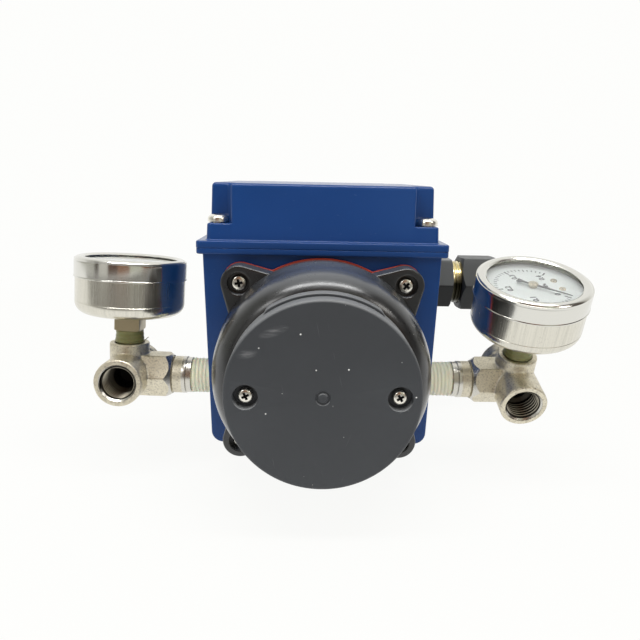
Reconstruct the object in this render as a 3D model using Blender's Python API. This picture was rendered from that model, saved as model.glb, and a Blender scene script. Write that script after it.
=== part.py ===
"""A valve positioner lying on its back face, cover up and pilot valve towards -Y.

The origin is on the feedback shaft's axis, in the plane of the housing's back face.
+X is right, +Y away from the pilot valve, +Z out of the cover.
"""

import math

import bmesh
import bpy
from mathutils import Matrix, Vector

MM = 0.001

# Clearances
GAP = 0.3 * MM
SHELF_OVERLAP = 2.0 * MM

# Housing
BODY_DEPTH = 96.0 * MM
BODY_HALF_WIDTH_LOW = 40.7 * MM
BODY_DRAFT = 2.1 * MM
FLANGE_LOW = 72.1 * MM
FLANGE_HIGH = 74.2 * MM
FLANGE_LEDGE = 2.05 * MM
FLANGE_REACH = 2.43 * MM
FLANGE_CORNER = 2.2 * MM
BODY_EDGE = 4.4 * MM
BODY_REAR_EDGE = 2.0 * MM
WALL = 4.3 * MM
FLOOR = 5.0 * MM
MANIFOLD_DEPTH = 26.0 * MM
CORNER_POST = 7.5 * MM
CHAMBER_RADIUS = 14.0 * MM
CHAMBER_DEPTH = 18.0 * MM
PASSAGE_RADIUS = 2.5 * MM
MOUNT_HOLE_RADIUS = 3.0 * MM
MOUNT_HOLE_DEPTH = 10.0 * MM
MOUNT_SHARE_X = 0.76
MOUNT_FROM_END = 14.0 * MM
MOUNT_BOSS_RADIUS = 5.0 * MM
MOUNT_BOSS_HEIGHT = 14.0 * MM

# Cover
COVER_HIGH = 96.76 * MM
COVER_BAND_HIGH = 76.8 * MM
COVER_INSET = 3.4 * MM
COVER_DRAFT = 0.75 * MM
COVER_TOP_EDGE = 1.5 * MM
COVER_CORNER = 1.8 * MM
COVER_WALL = 3.6 * MM
POCKET_WIDTH = 8.1 * MM
POCKET_DEPTH_Y = 11.0 * MM
POCKET_FLOOR = 82.75 * MM
POCKET_FILLET = 3.0 * MM
SEAL_WIDTH = 1.6 * MM
SEAL_HEIGHT = 1.6 * MM
SEAL_INSET = 2.8 * MM

# Cover screws, M4
COVER_SCREW_FROM_POCKET = 5.0 * MM
COVER_SCREW_INSET = 5.5 * MM
COVER_SCREW_RADIUS = 2.0 * MM
COVER_SCREW_HEAD = 3.85 * MM
COVER_SCREW_HEAD_HEIGHT = 2.7 * MM
COVER_SCREW_REACH = 9.0 * MM

# Pilot valve
PILOT_HEIGHT = 34.0 * MM
GASKET_THICKNESS = 1.2 * MM
GASKET_MARGIN = 0.3 * MM
EAR_PLANE = 9.72 * MM
EAR_PITCH = 29.06 * MM
EAR_RADIUS = 6.26 * MM
EAR_EDGE = 0.5 * MM
WEB_ANGLE = 30.0
GASKET_DISC_RADIUS = 37.1 * MM
DOME_ROOT_RADIUS = 36.8 * MM
DOME_RADIUS = 37.3 * MM
DOME_WIDEST_AT = 10.0 * MM
DOME_SHOULDER_RADIUS = 36.8 * MM
DOME_SHOULDER_AT = 21.0 * MM
DOME_FRONT = 33.0 * MM
DOME_FRONT_RADIUS = 28.8 * MM
PILOT_BORE = 12.3 * MM
DIAPHRAGM_BORE = 20.0 * MM
DIAPHRAGM_SEAT = 26.0 * MM
DIAPHRAGM_THICKNESS = 1.0 * MM
DIAPHRAGM_HOLE = 9.0 * MM
SLEEVE_BACK = 16.0 * MM
SLEEVE_FRONT = 22.0 * MM
SLEEVE_BORE = 6.3 * MM
SPRING_WIRE = 0.7 * MM
SPRING_RADIUS = 6.0 * MM

# Pilot screws, M3
PILOT_SCREW_RADIUS = 1.5 * MM
PILOT_SCREW_HEAD = 2.75 * MM
PILOT_SCREW_HEAD_HEIGHT = 2.0 * MM
COUNTERBORE_RADIUS = 3.85 * MM
COUNTERBORE_DEPTH = 3.2 * MM
PILOT_SCREW_REACH = 7.0 * MM

# Pilot cap
CAP_RADIUS = 30.65 * MM
CAP_FRONT = 42.7 * MM
CAP_BEVEL = 1.2 * MM
CAP_LIP = 1.0 * MM
CAP_LIP_LENGTH = 4.6 * MM
CAP_LIP_ANGLE = 39.5
CAP_SCREW_PITCH = 23.66 * MM
CAP_SCREW_HEAD = 2.5 * MM
CAP_RECESS_RADIUS = 16.0 * MM
CAP_RECESS_AT = 39.0 * MM
CAP_PIP_RADIUS = 2.0 * MM

# Elbow tees
PORT_Y = 15.0 * MM
PORT_HEIGHT = 21.7 * MM
PORT_BORE = 7.3 * MM
PORT_BORE_DEPTH = 7.5 * MM
LEFT_TEE_STANDOFF = 34.2 * MM
RIGHT_TEE_STANDOFF = 36.5 * MM
LEFT_TEE_LEAN = -3.6
RIGHT_TEE_LEAN = 17.8
LEFT_TEE_TILT = 1.4
LEFT_GAUGE_TILT = 1.7
HEX_END = 16.1 * MM
HEX_CHAMFER = 1.7 * MM
HEX_FLATS = 16.0 * MM
COLLAR_START = 18.1 * MM
COLLAR_END = 22.8 * MM
COLLAR_RADIUS = 7.2 * MM
RING_END = 25.0 * MM
RING_RADIUS = 6.9 * MM
NIPPLE_END = 37.6 * MM
NIPPLE_RADIUS = 6.75 * MM
NIPPLE_BORE = 4.0 * MM
THREAD_CHAMFER = 0.8 * MM
BARREL_RADIUS = 8.9 * MM
BARREL_FRONT = 17.1 * MM
BARREL_BACK = 15.0 * MM
BARREL_ROUND = 2.0 * MM
BAND_RADIUS = 9.8 * MM
BAND_LENGTH = 6.0 * MM
TEE_PORT_RADIUS = 5.9 * MM
TEE_PORT_DEPTH = 13.0 * MM
BOSS_RADIUS = 7.55 * MM
BOSS_HEIGHT = 12.5 * MM
STEM_BORE = 5.75 * MM
STEM_BORE_DEPTH = 6.5 * MM

# Pressure gauges
STEM_THREAD_RADIUS = 5.3 * MM
STEM_HEX_LOW = 17.4 * MM
STEM_HEX_HIGH = 23.5 * MM
STEM_FLATS = 12.0 * MM
STEM_NECK = 5.0 * MM
CASE_LOW = 23.9 * MM
CASE_RADIUS = 20.4 * MM
CASE_ROUND = 4.5 * MM
CASE_SHEET = 1.0 * MM
CASE_HIGH = 43.1 * MM
BEZEL_LOW = 37.7 * MM
BEZEL_HIGH = 45.6 * MM
BEZEL_SHEET = 0.4 * MM
BEZEL_LIP = 4.05 * MM
BEZEL_ROUND = 1.8 * MM
WINDOW_THICKNESS = 1.0 * MM
DIAL_FACE = 41.4 * MM
DIAL_THICKNESS = 0.8 * MM
POINTER_CLEARANCE = 2.85 * MM
POINTER_TAIL = 6.0 * MM
POINTER_THICKNESS = 0.5 * MM
POINTER_HUB = 1.8 * MM
POINTER_SHAFT = 0.9 * MM
POINTER_ZERO = -35.0
MOVEMENT_HIGH = 36.0 * MM
BOURDON_CLEARANCE = 7.7 * MM

# Cable gland
GLAND_FROM_REAR = 23.5 * MM
GLAND_HEIGHT = 51.6 * MM
CONDUIT_LENGTH = 9.2 * MM
CONDUIT_RADIUS = 13.0 * MM
CONDUIT_BORE = 9.8 * MM
ADAPTOR_FLATS = 22.0 * MM
ADAPTOR_LENGTH = 10.3 * MM
ADAPTOR_BORE = 7.0 * MM
GLAND_THREAD_RADIUS = 9.9 * MM
NUT_STANDOFF = 4.2 * MM
NUT_LENGTH = 17.0 * MM
NUT_FLATS = 24.0 * MM
NUT_CHAMFER = 2.0 * MM
NUT_MOUTH = 5.5 * MM
CABLE_RADIUS = 3.7 * MM

# Feedback train
SHAFT_RADIUS = 4.0 * MM
SHAFT_PROUD = 15.0 * MM
SHAFT_TOP = 36.0 * MM
SHAFT_FLAT = 1.0 * MM
SHAFT_COLLAR = 6.0 * MM
SHAFT_BOSS_RADIUS = 11.0 * MM
SHAFT_BOSS_HEIGHT = 20.0 * MM
BUSH_WALL = 2.2 * MM
BUSH_LENGTH = 6.5 * MM
COLLAR_THICKNESS = 1.4 * MM
CIRCLIP_THICKNESS = 1.0 * MM
CAM_THICKNESS = 3.0 * MM
CAM_HUB_RADIUS = 7.0 * MM
CAM_HUB_HEIGHT = 4.6 * MM
SHAFT_TURN = 90.0
LEVER_TURN = 12.0
CAM_OVERTRAVEL = 14.0
CAM_SHOULDER = 12.0
CAM_NUT_FLATS = 13.0 * MM
CAM_NUT_HEIGHT = 4.0 * MM
LEVER_PIVOT_SHARE = (-0.66, 0.686)
ROLLER_SHARE_X = -0.467
ROLLER_Y = 1.0 * MM
ROLLER_RADIUS = 3.5 * MM
ROLLER_AXLE = 1.2 * MM
LEVER_THICKNESS = 2.0 * MM
LEVER_WIDTH = 3.0 * MM
SPRING_LINE_SHARE = 0.773
LEVER_HOOK_SHARE_X = -0.3475
PIVOT_PIN_RADIUS = 1.6 * MM
POST_RADIUS = 4.0 * MM
POST_HEIGHT = 22.0 * MM
PIN_SEAT_DEPTH = 8.0 * MM

# Balance beam and torque motor
BEAM_SHARE_X = 0.467
BEAM_PIVOT_Y = 5.0 * MM
BEAM_WIDTH = 3.0 * MM
BEAM_THICKNESS = 2.6 * MM
BEAM_TIP_SHARE = 0.87
RANGE_COIL_RADIUS = 2.4 * MM
RANGE_WIRE = 0.5 * MM
RANGE_TURNS = 7
YOKE_SHARE_X = 0.22
YOKE_FRONT_SHARE = 0.423
YOKE_ARM_SHARE = 0.732
POLE_GAP = 2.6 * MM
COIL_RADIUS = 7.5 * MM
COIL_BORE = 3.6 * MM
NOZZLE_SHARE = 0.4545
NOZZLE_GAP = 0.9 * MM

# Knobs and terminals
KNOB_X = 14.0 * MM
KNOB_RADIUS = 5.5 * MM
KNOB_HEIGHT = 8.0 * MM
SPINDLE_RADIUS = 2.0 * MM
SPINDLE_DEPTH = 10.0 * MM
SELECTOR_X = 0.0
SELECTOR_RADIUS = 3.5 * MM
SELECTOR_DEPTH = 9.0 * MM
SLOT_WIDTH = 1.0 * MM
EARTH_SHARE_X = 0.64
EARTH_FROM_CAVITY = 6.0 * MM
TERMINAL_SHARE_X = 0.22
TERMINAL_LENGTH = 30.0 * MM
TERMINAL_DEPTH = 11.0 * MM
TERMINAL_LOW = 44.0 * MM
TERMINAL_HIGH = 58.0 * MM
TERMINAL_PITCH = 9.0 * MM

# Facets
LARGE = 40
MEDIUM = 26
SMALL = 16
TINY = 8
CORNER_STEPS = 3

# Places that follow from the sizes
BODY_FRONT = -BODY_DEPTH / 2
BODY_REAR = BODY_DEPTH / 2
BODY_HALF_WIDTH_HIGH = BODY_HALF_WIDTH_LOW + BODY_DRAFT
FLANGE_HALF_WIDTH = BODY_HALF_WIDTH_HIGH + FLANGE_LEDGE
CAVITY_FRONT = BODY_FRONT + MANIFOLD_DEPTH
CAVITY_REAR = BODY_REAR - WALL
CAVITY_HALF_WIDTH = BODY_HALF_WIDTH_LOW - WALL
MOUNT_HALF_X = MOUNT_SHARE_X * BODY_HALF_WIDTH_LOW
MOUNT_HALF_Y = BODY_REAR - MOUNT_FROM_END
COVER_HALF_WIDTH_LOW = FLANGE_HALF_WIDTH - COVER_INSET
COVER_HALF_WIDTH_HIGH = COVER_HALF_WIDTH_LOW - COVER_DRAFT
POCKET_HALF_X = COVER_HALF_WIDTH_HIGH - POCKET_WIDTH
COVER_SCREW_X = POCKET_HALF_X + COVER_SCREW_FROM_POCKET
SEAL_HALF_X = FLANGE_HALF_WIDTH - SEAL_INSET
SEAL_HALF_Y = BODY_REAR + FLANGE_REACH - SEAL_INSET
COVER_LOW = FLANGE_HIGH + GAP
SCREW_Y = BODY_REAR - COVER_SCREW_INSET
GASKET_LOW = GAP
GASKET_HIGH = GASKET_LOW + GASKET_THICKNESS
PILOT_BACK = GASKET_HIGH + GAP
CAP_BACK = DOME_FRONT + GAP
BUSH_OUTER = SHAFT_RADIUS + GAP + BUSH_WALL
SHAFT_COLLAR_LOW = SHAFT_BOSS_HEIGHT + GAP
CAM_LOW = SHAFT_COLLAR_LOW + COLLAR_THICKNESS + GAP
CAM_HIGH = CAM_LOW + CAM_THICKNESS
LEVER_LOW = CAM_HIGH + 2 * GAP
LEVER_HIGH = LEVER_LOW + LEVER_THICKNESS
LEVER_RATIO = LEVER_TURN / SHAFT_TURN
BEAM_LOW = LEVER_LOW
BEAM_HIGH = BEAM_LOW + BEAM_THICKNESS
BEAM_MIDDLE = (BEAM_LOW + BEAM_HIGH) / 2
HOOK_TOP = LEVER_HIGH + 4 * MM
SPRING_HEIGHT = LEVER_HIGH + 2.0 * MM
PORT_WORLD_Y = BODY_FRONT + PORT_Y
BEZEL_RADIUS = CASE_RADIUS + GAP + BEZEL_SHEET
WINDOW_RADIUS = BEZEL_RADIUS - BEZEL_LIP
POINTER_TIP = WINDOW_RADIUS - POINTER_CLEARANCE
BOURDON_RADIUS = CASE_RADIUS - BOURDON_CLEARANCE
GLAND_Y = BODY_REAR - GLAND_FROM_REAR
CONDUIT_END = BODY_HALF_WIDTH_HIGH + CONDUIT_LENGTH
ADAPTOR_END = CONDUIT_END + ADAPTOR_LENGTH
NUT_START = ADAPTOR_END + NUT_STANDOFF
NUT_END = NUT_START + NUT_LENGTH
LEVER_PIVOT = Vector((LEVER_PIVOT_SHARE[0] * CAVITY_HALF_WIDTH, LEVER_PIVOT_SHARE[1] * CAVITY_REAR))
ROLLER_CENTRE = Vector((ROLLER_SHARE_X * CAVITY_HALF_WIDTH, ROLLER_Y))
SPRING_LINE_Y = SPRING_LINE_SHARE * CAVITY_FRONT
LEVER_HOOK = Vector((LEVER_HOOK_SHARE_X * CAVITY_HALF_WIDTH, SPRING_LINE_Y))
BEAM_X = BEAM_SHARE_X * CAVITY_HALF_WIDTH
BEAM_TIP_Y = BEAM_TIP_SHARE * CAVITY_REAR
YOKE_HALF_WIDTH = YOKE_SHARE_X * CAVITY_HALF_WIDTH
YOKE_FRONT = YOKE_FRONT_SHARE * CAVITY_REAR
YOKE_ARM_AT = YOKE_ARM_SHARE * CAVITY_REAR
NOZZLE_Y = NOZZLE_SHARE * CAVITY_FRONT
KNOB_Y = (BODY_FRONT + CAVITY_FRONT) / 2
EARTH_X = EARTH_SHARE_X * BODY_HALF_WIDTH_LOW
EARTH_Y = CAVITY_FRONT - EARTH_FROM_CAVITY
TERMINAL_X = TERMINAL_SHARE_X * CAVITY_HALF_WIDTH

BLUE_PAINT = ((0.012, 0.055, 0.19, 1), 0.35, 0.0)
BLACK_PLASTIC = ((0.018, 0.019, 0.021, 1), 0.42, 0.0)
RED_SILICONE = ((0.50, 0.07, 0.03, 1), 0.6, 0.0)
BLACK_RUBBER = ((0.015, 0.015, 0.015, 1), 0.7, 0.0)
BRIGHT_STEEL = ((0.72, 0.71, 0.69, 1), 0.2, 1.0)
CAST_STEEL = ((0.52, 0.48, 0.42, 1), 0.4, 1.0)
BRASS = ((0.62, 0.48, 0.22, 1), 0.35, 1.0)
WHITE_ENAMEL = ((0.80, 0.82, 0.82, 1), 0.5, 0.0)
CLEAR_WINDOW = ((0.85, 0.90, 0.90, 0.3), 0.05, 0.0)
BLACK_PAINT = ((0.01, 0.01, 0.01, 1), 0.4, 0.0)
COPPER_WINDING = ((0.50, 0.18, 0.07, 1), 0.4, 1.0)
SOFT_IRON = ((0.20, 0.20, 0.21, 1), 0.5, 1.0)
GREY_PLASTIC = ((0.30, 0.31, 0.32, 1), 0.5, 0.0)

# Local Z turned to face the viewer, the right and the left
FACING = Matrix.Rotation(math.radians(90), 4, "X")
TO_RIGHT = Matrix.Rotation(math.radians(90), 4, "Y")
TO_LEFT = Matrix.Rotation(math.radians(-90), 4, "Y")


def clear_scene():
    for obj in list(bpy.data.objects):
        bpy.data.objects.remove(obj, do_unlink=True)


# Outlines, as lists of (x, y)

def arc(centre, radius, start, end, steps):
    """Points on an arc, angles in degrees."""
    angles = [math.radians(start + (end - start) * i / steps) for i in range(steps + 1)]
    return [(centre[0] + radius * math.cos(a), centre[1] + radius * math.sin(a)) for a in angles]


def fillet(before, corner, after, radius, steps=CORNER_STEPS):
    """The arc that rounds one corner, convex or concave."""
    back = (Vector(before) - Vector(corner)).normalized()
    ahead = (Vector(after) - Vector(corner)).normalized()
    half = back.angle(ahead) / 2
    centre = Vector(corner) + (back + ahead).normalized() * radius / math.sin(half)
    first = Vector(corner) + back * radius / math.tan(half) - centre
    last = Vector(corner) + ahead * radius / math.tan(half) - centre
    turn = math.atan2(first.x * last.y - first.y * last.x, first.dot(last))
    points = []
    for i in range(steps + 1):
        c, s = math.cos(turn * i / steps), math.sin(turn * i / steps)
        points.append((centre.x + c * first.x - s * first.y, centre.y + s * first.x + c * first.y))
    return points


def rounded(corners, radius, steps=CORNER_STEPS):
    """A closed outline with every corner rounded."""
    points = []
    for i, corner in enumerate(corners):
        points += fillet(corners[i - 1], corner, corners[(i + 1) % len(corners)], radius, steps)
    return points


def rectangle(half_x, half_y, radius, steps=CORNER_STEPS):
    corners = [(-half_x, -half_y), (half_x, -half_y), (half_x, half_y), (-half_x, half_y)]
    return rounded(corners, radius, steps)


# Shapes, as bmesh

def at_height(outline, z):
    return [Vector((x, y, z)) for x, y in outline]


def lofted(rings):
    """A closed skin over rings of equally many points, capped at both ends."""
    shape = bmesh.new()
    rows = [[shape.verts.new(point) for point in ring] for ring in rings]
    for low, high in zip(rows, rows[1:]):
        for i in range(len(low)):
            j = (i + 1) % len(low)
            shape.faces.new((low[i], low[j], high[j], high[i]))
    shape.faces.new(list(reversed(rows[0])))
    shape.faces.new(rows[-1])
    return shape


def prism(outline, low, high):
    return lofted([at_height(outline, low), at_height(outline, high)])


def box(low, high):
    outline = [(low[0], low[1]), (high[0], low[1]), (high[0], high[1]), (low[0], high[1])]
    return prism(outline, low[2], high[2])


def turned(profile, segments, closed=False):
    """A profile of (radius, height) turned about Z. An open one starts and ends on the axis."""
    shape = bmesh.new()
    rows = []
    for radius, height in profile:
        if radius == 0:
            rows.append([shape.verts.new((0, 0, height))] * segments)
        else:
            rows.append([shape.verts.new((x, y, height))
                         for x, y in arc((0, 0), radius, 0, 360, segments)[:-1]])
    pairs = list(zip(rows, rows[1:])) + ([(rows[-1], rows[0])] if closed else [])
    for low, high in pairs:
        for i in range(segments):
            j = (i + 1) % segments
            corners = []
            for vertex in (low[i], low[j], high[j], high[i]):
                if vertex not in corners:
                    corners.append(vertex)
            shape.faces.new(corners)
    return shape


def cylinder(radius, low, high, segments):
    return turned([(0, low), (radius, low), (radius, high), (0, high)], segments)


def tube(inner, outer, low, high, segments):
    return turned([(inner, low), (outer, low), (outer, high), (inner, high)], segments, True)


def hexagon(across_flats, low, high, turn=0.0):
    corner = across_flats / 2 / math.cos(math.radians(30))
    return prism(arc((0, 0), corner, turn, turn + 360, 6)[:-1], low, high)


def swept(path, radius, sides):
    """A round wire along a list of points."""
    rings = []
    normal = None
    for i, point in enumerate(path):
        ahead = path[min(i + 1, len(path) - 1)] - path[max(i - 1, 0)]
        ahead.normalize()
        if normal is None:
            normal = ahead.orthogonal().normalized()
        normal = (normal - ahead * normal.dot(ahead)).normalized()
        side = ahead.cross(normal)
        rings.append([point + normal * (radius * math.cos(2 * math.pi * k / sides))
                      + side * (radius * math.sin(2 * math.pi * k / sides)) for k in range(sides)])
    return lofted(rings)


def moved(shape, matrix):
    shape.transform(matrix)
    return shape


def shifted(shape, x=0.0, y=0.0, z=0.0):
    return moved(shape, Matrix.Translation((x, y, z)))


def combined(*shapes):
    """Shapes that stay apart, as one bmesh."""
    whole = bmesh.new()
    for shape in shapes:
        held = bpy.data.meshes.new("held")
        shape.to_mesh(held)
        shape.free()
        whole.from_mesh(held)
        bpy.data.meshes.remove(held)
    return whole


# Objects

def material(name, look):
    colour, roughness, metallic = look
    made = bpy.data.materials.new(name)
    made.use_nodes = True
    made.diffuse_color = colour
    shader = made.node_tree.nodes["Principled BSDF"]
    shader.inputs["Base Color"].default_value = (*colour[:3], 1)
    shader.inputs["Roughness"].default_value = roughness
    shader.inputs["Metallic"].default_value = metallic
    shader.inputs["Alpha"].default_value = colour[3]
    return made


def mesh_object(name, shape, parent):
    bmesh.ops.remove_doubles(shape, verts=shape.verts, dist=0.001 * MM)
    bmesh.ops.recalc_face_normals(shape, faces=shape.faces)
    mesh = bpy.data.meshes.new(name)
    shape.to_mesh(mesh)
    shape.free()
    obj = bpy.data.objects.new(name, mesh)
    bpy.context.scene.collection.objects.link(obj)
    obj.parent = parent
    return obj


def piece(name, shape, look, parent=None, location=(0, 0, 0), solver="EXACT"):
    """A visible sub-part with its own material, placed in its parent's frame."""
    obj = mesh_object(name, shape, parent)
    obj["solver"] = solver
    obj.location = location
    obj.data.materials.append(material(name, look))
    obj.data.shade_smooth()
    obj.data.set_sharp_from_angle(angle=math.radians(35))
    return obj


def combine(obj, shape, operation, label):
    """A Boolean with a hidden helper in the same frame as the piece."""
    helper = mesh_object(f"{obj.name}_{label}", shape, obj.parent)
    helper.location = obj.location
    helper.hide_render = True
    helper.display_type = "WIRE"
    modifier = obj.modifiers.new(label, "BOOLEAN")
    modifier.operation = operation
    modifier.solver = obj["solver"]
    modifier.object = helper


def cut(obj, shape, label):
    combine(obj, shape, "DIFFERENCE", label)


def add(obj, shape, label):
    combine(obj, shape, "UNION", label)


def frame_empty(name, location, rotation=Matrix(), parent=None):
    empty = bpy.data.objects.new(name, None)
    bpy.context.scene.collection.objects.link(empty)
    empty.parent = parent
    empty.matrix_local = Matrix.Translation(location) @ rotation
    return empty


# Fasteners

def pan_head(radius, height, shank_radius, reach, segments=TINY):
    """A pan-head screw along Z, its seat at Z = 0 and its shank below."""
    crown = [(radius, 0.55 * height), (0.86 * radius, 0.85 * height), (0.55 * radius, height)]
    return turned([(0, -reach), (shank_radius, -reach), (shank_radius, 0), (radius, 0)] + crown
                  + [(0, height)], segments)


def slotted(radius, low, high, width, depth, segments=SMALL):
    """A round head whose top carries a straight slot, as one closed skin."""
    half = width / 2
    edge = math.degrees(math.asin(half / radius))
    upper = arc((0, 0), radius, edge, 180 - edge, segments // 2)
    lower = arc((0, 0), radius, 180 + edge, 360 - edge, segments // 2)
    outline = upper + lower
    shape = bmesh.new()
    base = [shape.verts.new((x, y, low)) for x, y in outline]
    step = [shape.verts.new((x, y, high - depth)) for x, y in outline]
    top = [shape.verts.new((x, y, high)) for x, y in outline]
    count = len(outline)
    n = len(upper)
    shape.faces.new(list(reversed(base)))
    for i in range(count):
        j = (i + 1) % count
        shape.faces.new((base[i], base[j], step[j], step[i]))
        if i not in (n - 1, count - 1):
            shape.faces.new((step[i], step[j], top[j], top[i]))
    shape.faces.new((step[n - 1], step[n], step[count - 1], step[0]))
    shape.faces.new((step[n - 1], step[0], top[0], top[n - 1]))
    shape.faces.new((step[count - 1], step[n], top[n], top[count - 1]))
    shape.faces.new(top[:n])
    shape.faces.new(top[n:])
    return shape


# Housing and cover

def body_section(inset):
    """The housing's section across X and Z, drafted, with its lower edges rounded."""
    low = BODY_HALF_WIDTH_LOW - inset
    high = BODY_HALF_WIDTH_HIGH - inset
    top = (FLANGE_LOW + FLANGE_HIGH) / 2
    right = fillet((0, inset), (low, inset), (high, top), BODY_EDGE)
    left = [(-x, z) for x, z in reversed(right)]
    return left + right + [(high, top), (-high, top)]


def body_shell():
    rings = []
    for y, inset in ((BODY_FRONT, 0.4 * MM), (BODY_FRONT + 0.4 * MM, 0),
                     (BODY_REAR - BODY_REAR_EDGE, 0),
                     (BODY_REAR - 0.3 * BODY_REAR_EDGE, 0.3 * BODY_REAR_EDGE),
                     (BODY_REAR, BODY_REAR_EDGE)):
        rings.append([Vector((x, y, z)) for x, z in body_section(inset)])
    return lofted(rings)


def cavity():
    """The open hollow, stepped in at the rear corners round the cover screw posts."""
    x, post = CAVITY_HALF_WIDTH, CAVITY_HALF_WIDTH - CORNER_POST
    corners = [(-x, CAVITY_FRONT), (x, CAVITY_FRONT), (x, CAVITY_REAR - CORNER_POST),
               (post, CAVITY_REAR - CORNER_POST), (post, CAVITY_REAR), (-post, CAVITY_REAR),
               (-post, CAVITY_REAR - CORNER_POST), (-x, CAVITY_REAR - CORNER_POST)]
    return prism(rounded(corners, 2 * MM, 2), FLOOR, FLANGE_HIGH + SHELF_OVERLAP)


def each_corner(x, y):
    return [(-x, -y), (x, -y), (x, y), (-x, y)]


def conduit_boss():
    return shifted(moved(cylinder(CONDUIT_RADIUS, CAVITY_HALF_WIDTH + WALL / 2, CONDUIT_END, MEDIUM),
                         TO_RIGHT), y=GLAND_Y, z=GLAND_HEIGHT)


def inner_bosses():
    """Shaft boss, pivot posts and rear mounting bosses, standing on the floor."""
    low = FLOOR / 2
    shapes = [cylinder(SHAFT_BOSS_RADIUS, low, SHAFT_BOSS_HEIGHT, MEDIUM)]
    for x, y in (LEVER_PIVOT, (BEAM_X, BEAM_PIVOT_Y)):
        shapes.append(shifted(cylinder(POST_RADIUS, low, POST_HEIGHT, TINY), x, y))
    return combined(*shapes)


def mounting_bosses():
    return combined(*[shifted(cylinder(MOUNT_BOSS_RADIUS, FLOOR / 2, MOUNT_BOSS_HEIGHT, TINY),
                              side * MOUNT_HALF_X, MOUNT_HALF_Y) for side in (-1, 1)])


def face_hole(x, y_local, radius, depth):
    """A blind hole into the pilot face, at a place given from the pilot's axis."""
    hole = moved(cylinder(radius, -depth, SHELF_OVERLAP, TINY), FACING)
    return shifted(hole, x, BODY_FRONT, PILOT_HEIGHT + y_local)


def side_port(side):
    turn = TO_RIGHT if side > 0 else TO_LEFT
    outside = BODY_HALF_WIDTH_HIGH + SHELF_OVERLAP
    inside = BODY_HALF_WIDTH_LOW - PORT_BORE_DEPTH
    profile = [(0, CHAMBER_RADIUS / 2), (PASSAGE_RADIUS, CHAMBER_RADIUS / 2),
               (PASSAGE_RADIUS, inside), (PORT_BORE, inside), (PORT_BORE, outside), (0, outside)]
    return shifted(moved(turned(profile, SMALL), turn), y=PORT_WORLD_Y, z=PORT_HEIGHT)


def framed(outer_half, inner_half, low, high):
    """A rectangular ring, built from its outer and inner outlines."""
    outer = rectangle(*outer_half, FLANGE_CORNER)
    inner = rectangle(*inner_half, FLANGE_CORNER / 2)
    shape = bmesh.new()
    rows = [[shape.verts.new(point) for point in at_height(outline, z)]
            for outline, z in ((outer, low), (outer, high), (inner, high), (inner, low))]
    for first, second in zip(rows, rows[1:] + rows[:1]):
        for i in range(len(first)):
            j = (i + 1) % len(first)
            shape.faces.new((first[i], first[j], second[j], second[i]))
    return shape


def seal_ring(margin, low, high):
    half = SEAL_WIDTH / 2 + margin
    return framed((SEAL_HALF_X + half, SEAL_HALF_Y + half), (SEAL_HALF_X - half, SEAL_HALF_Y - half),
                  low, high)


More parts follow.
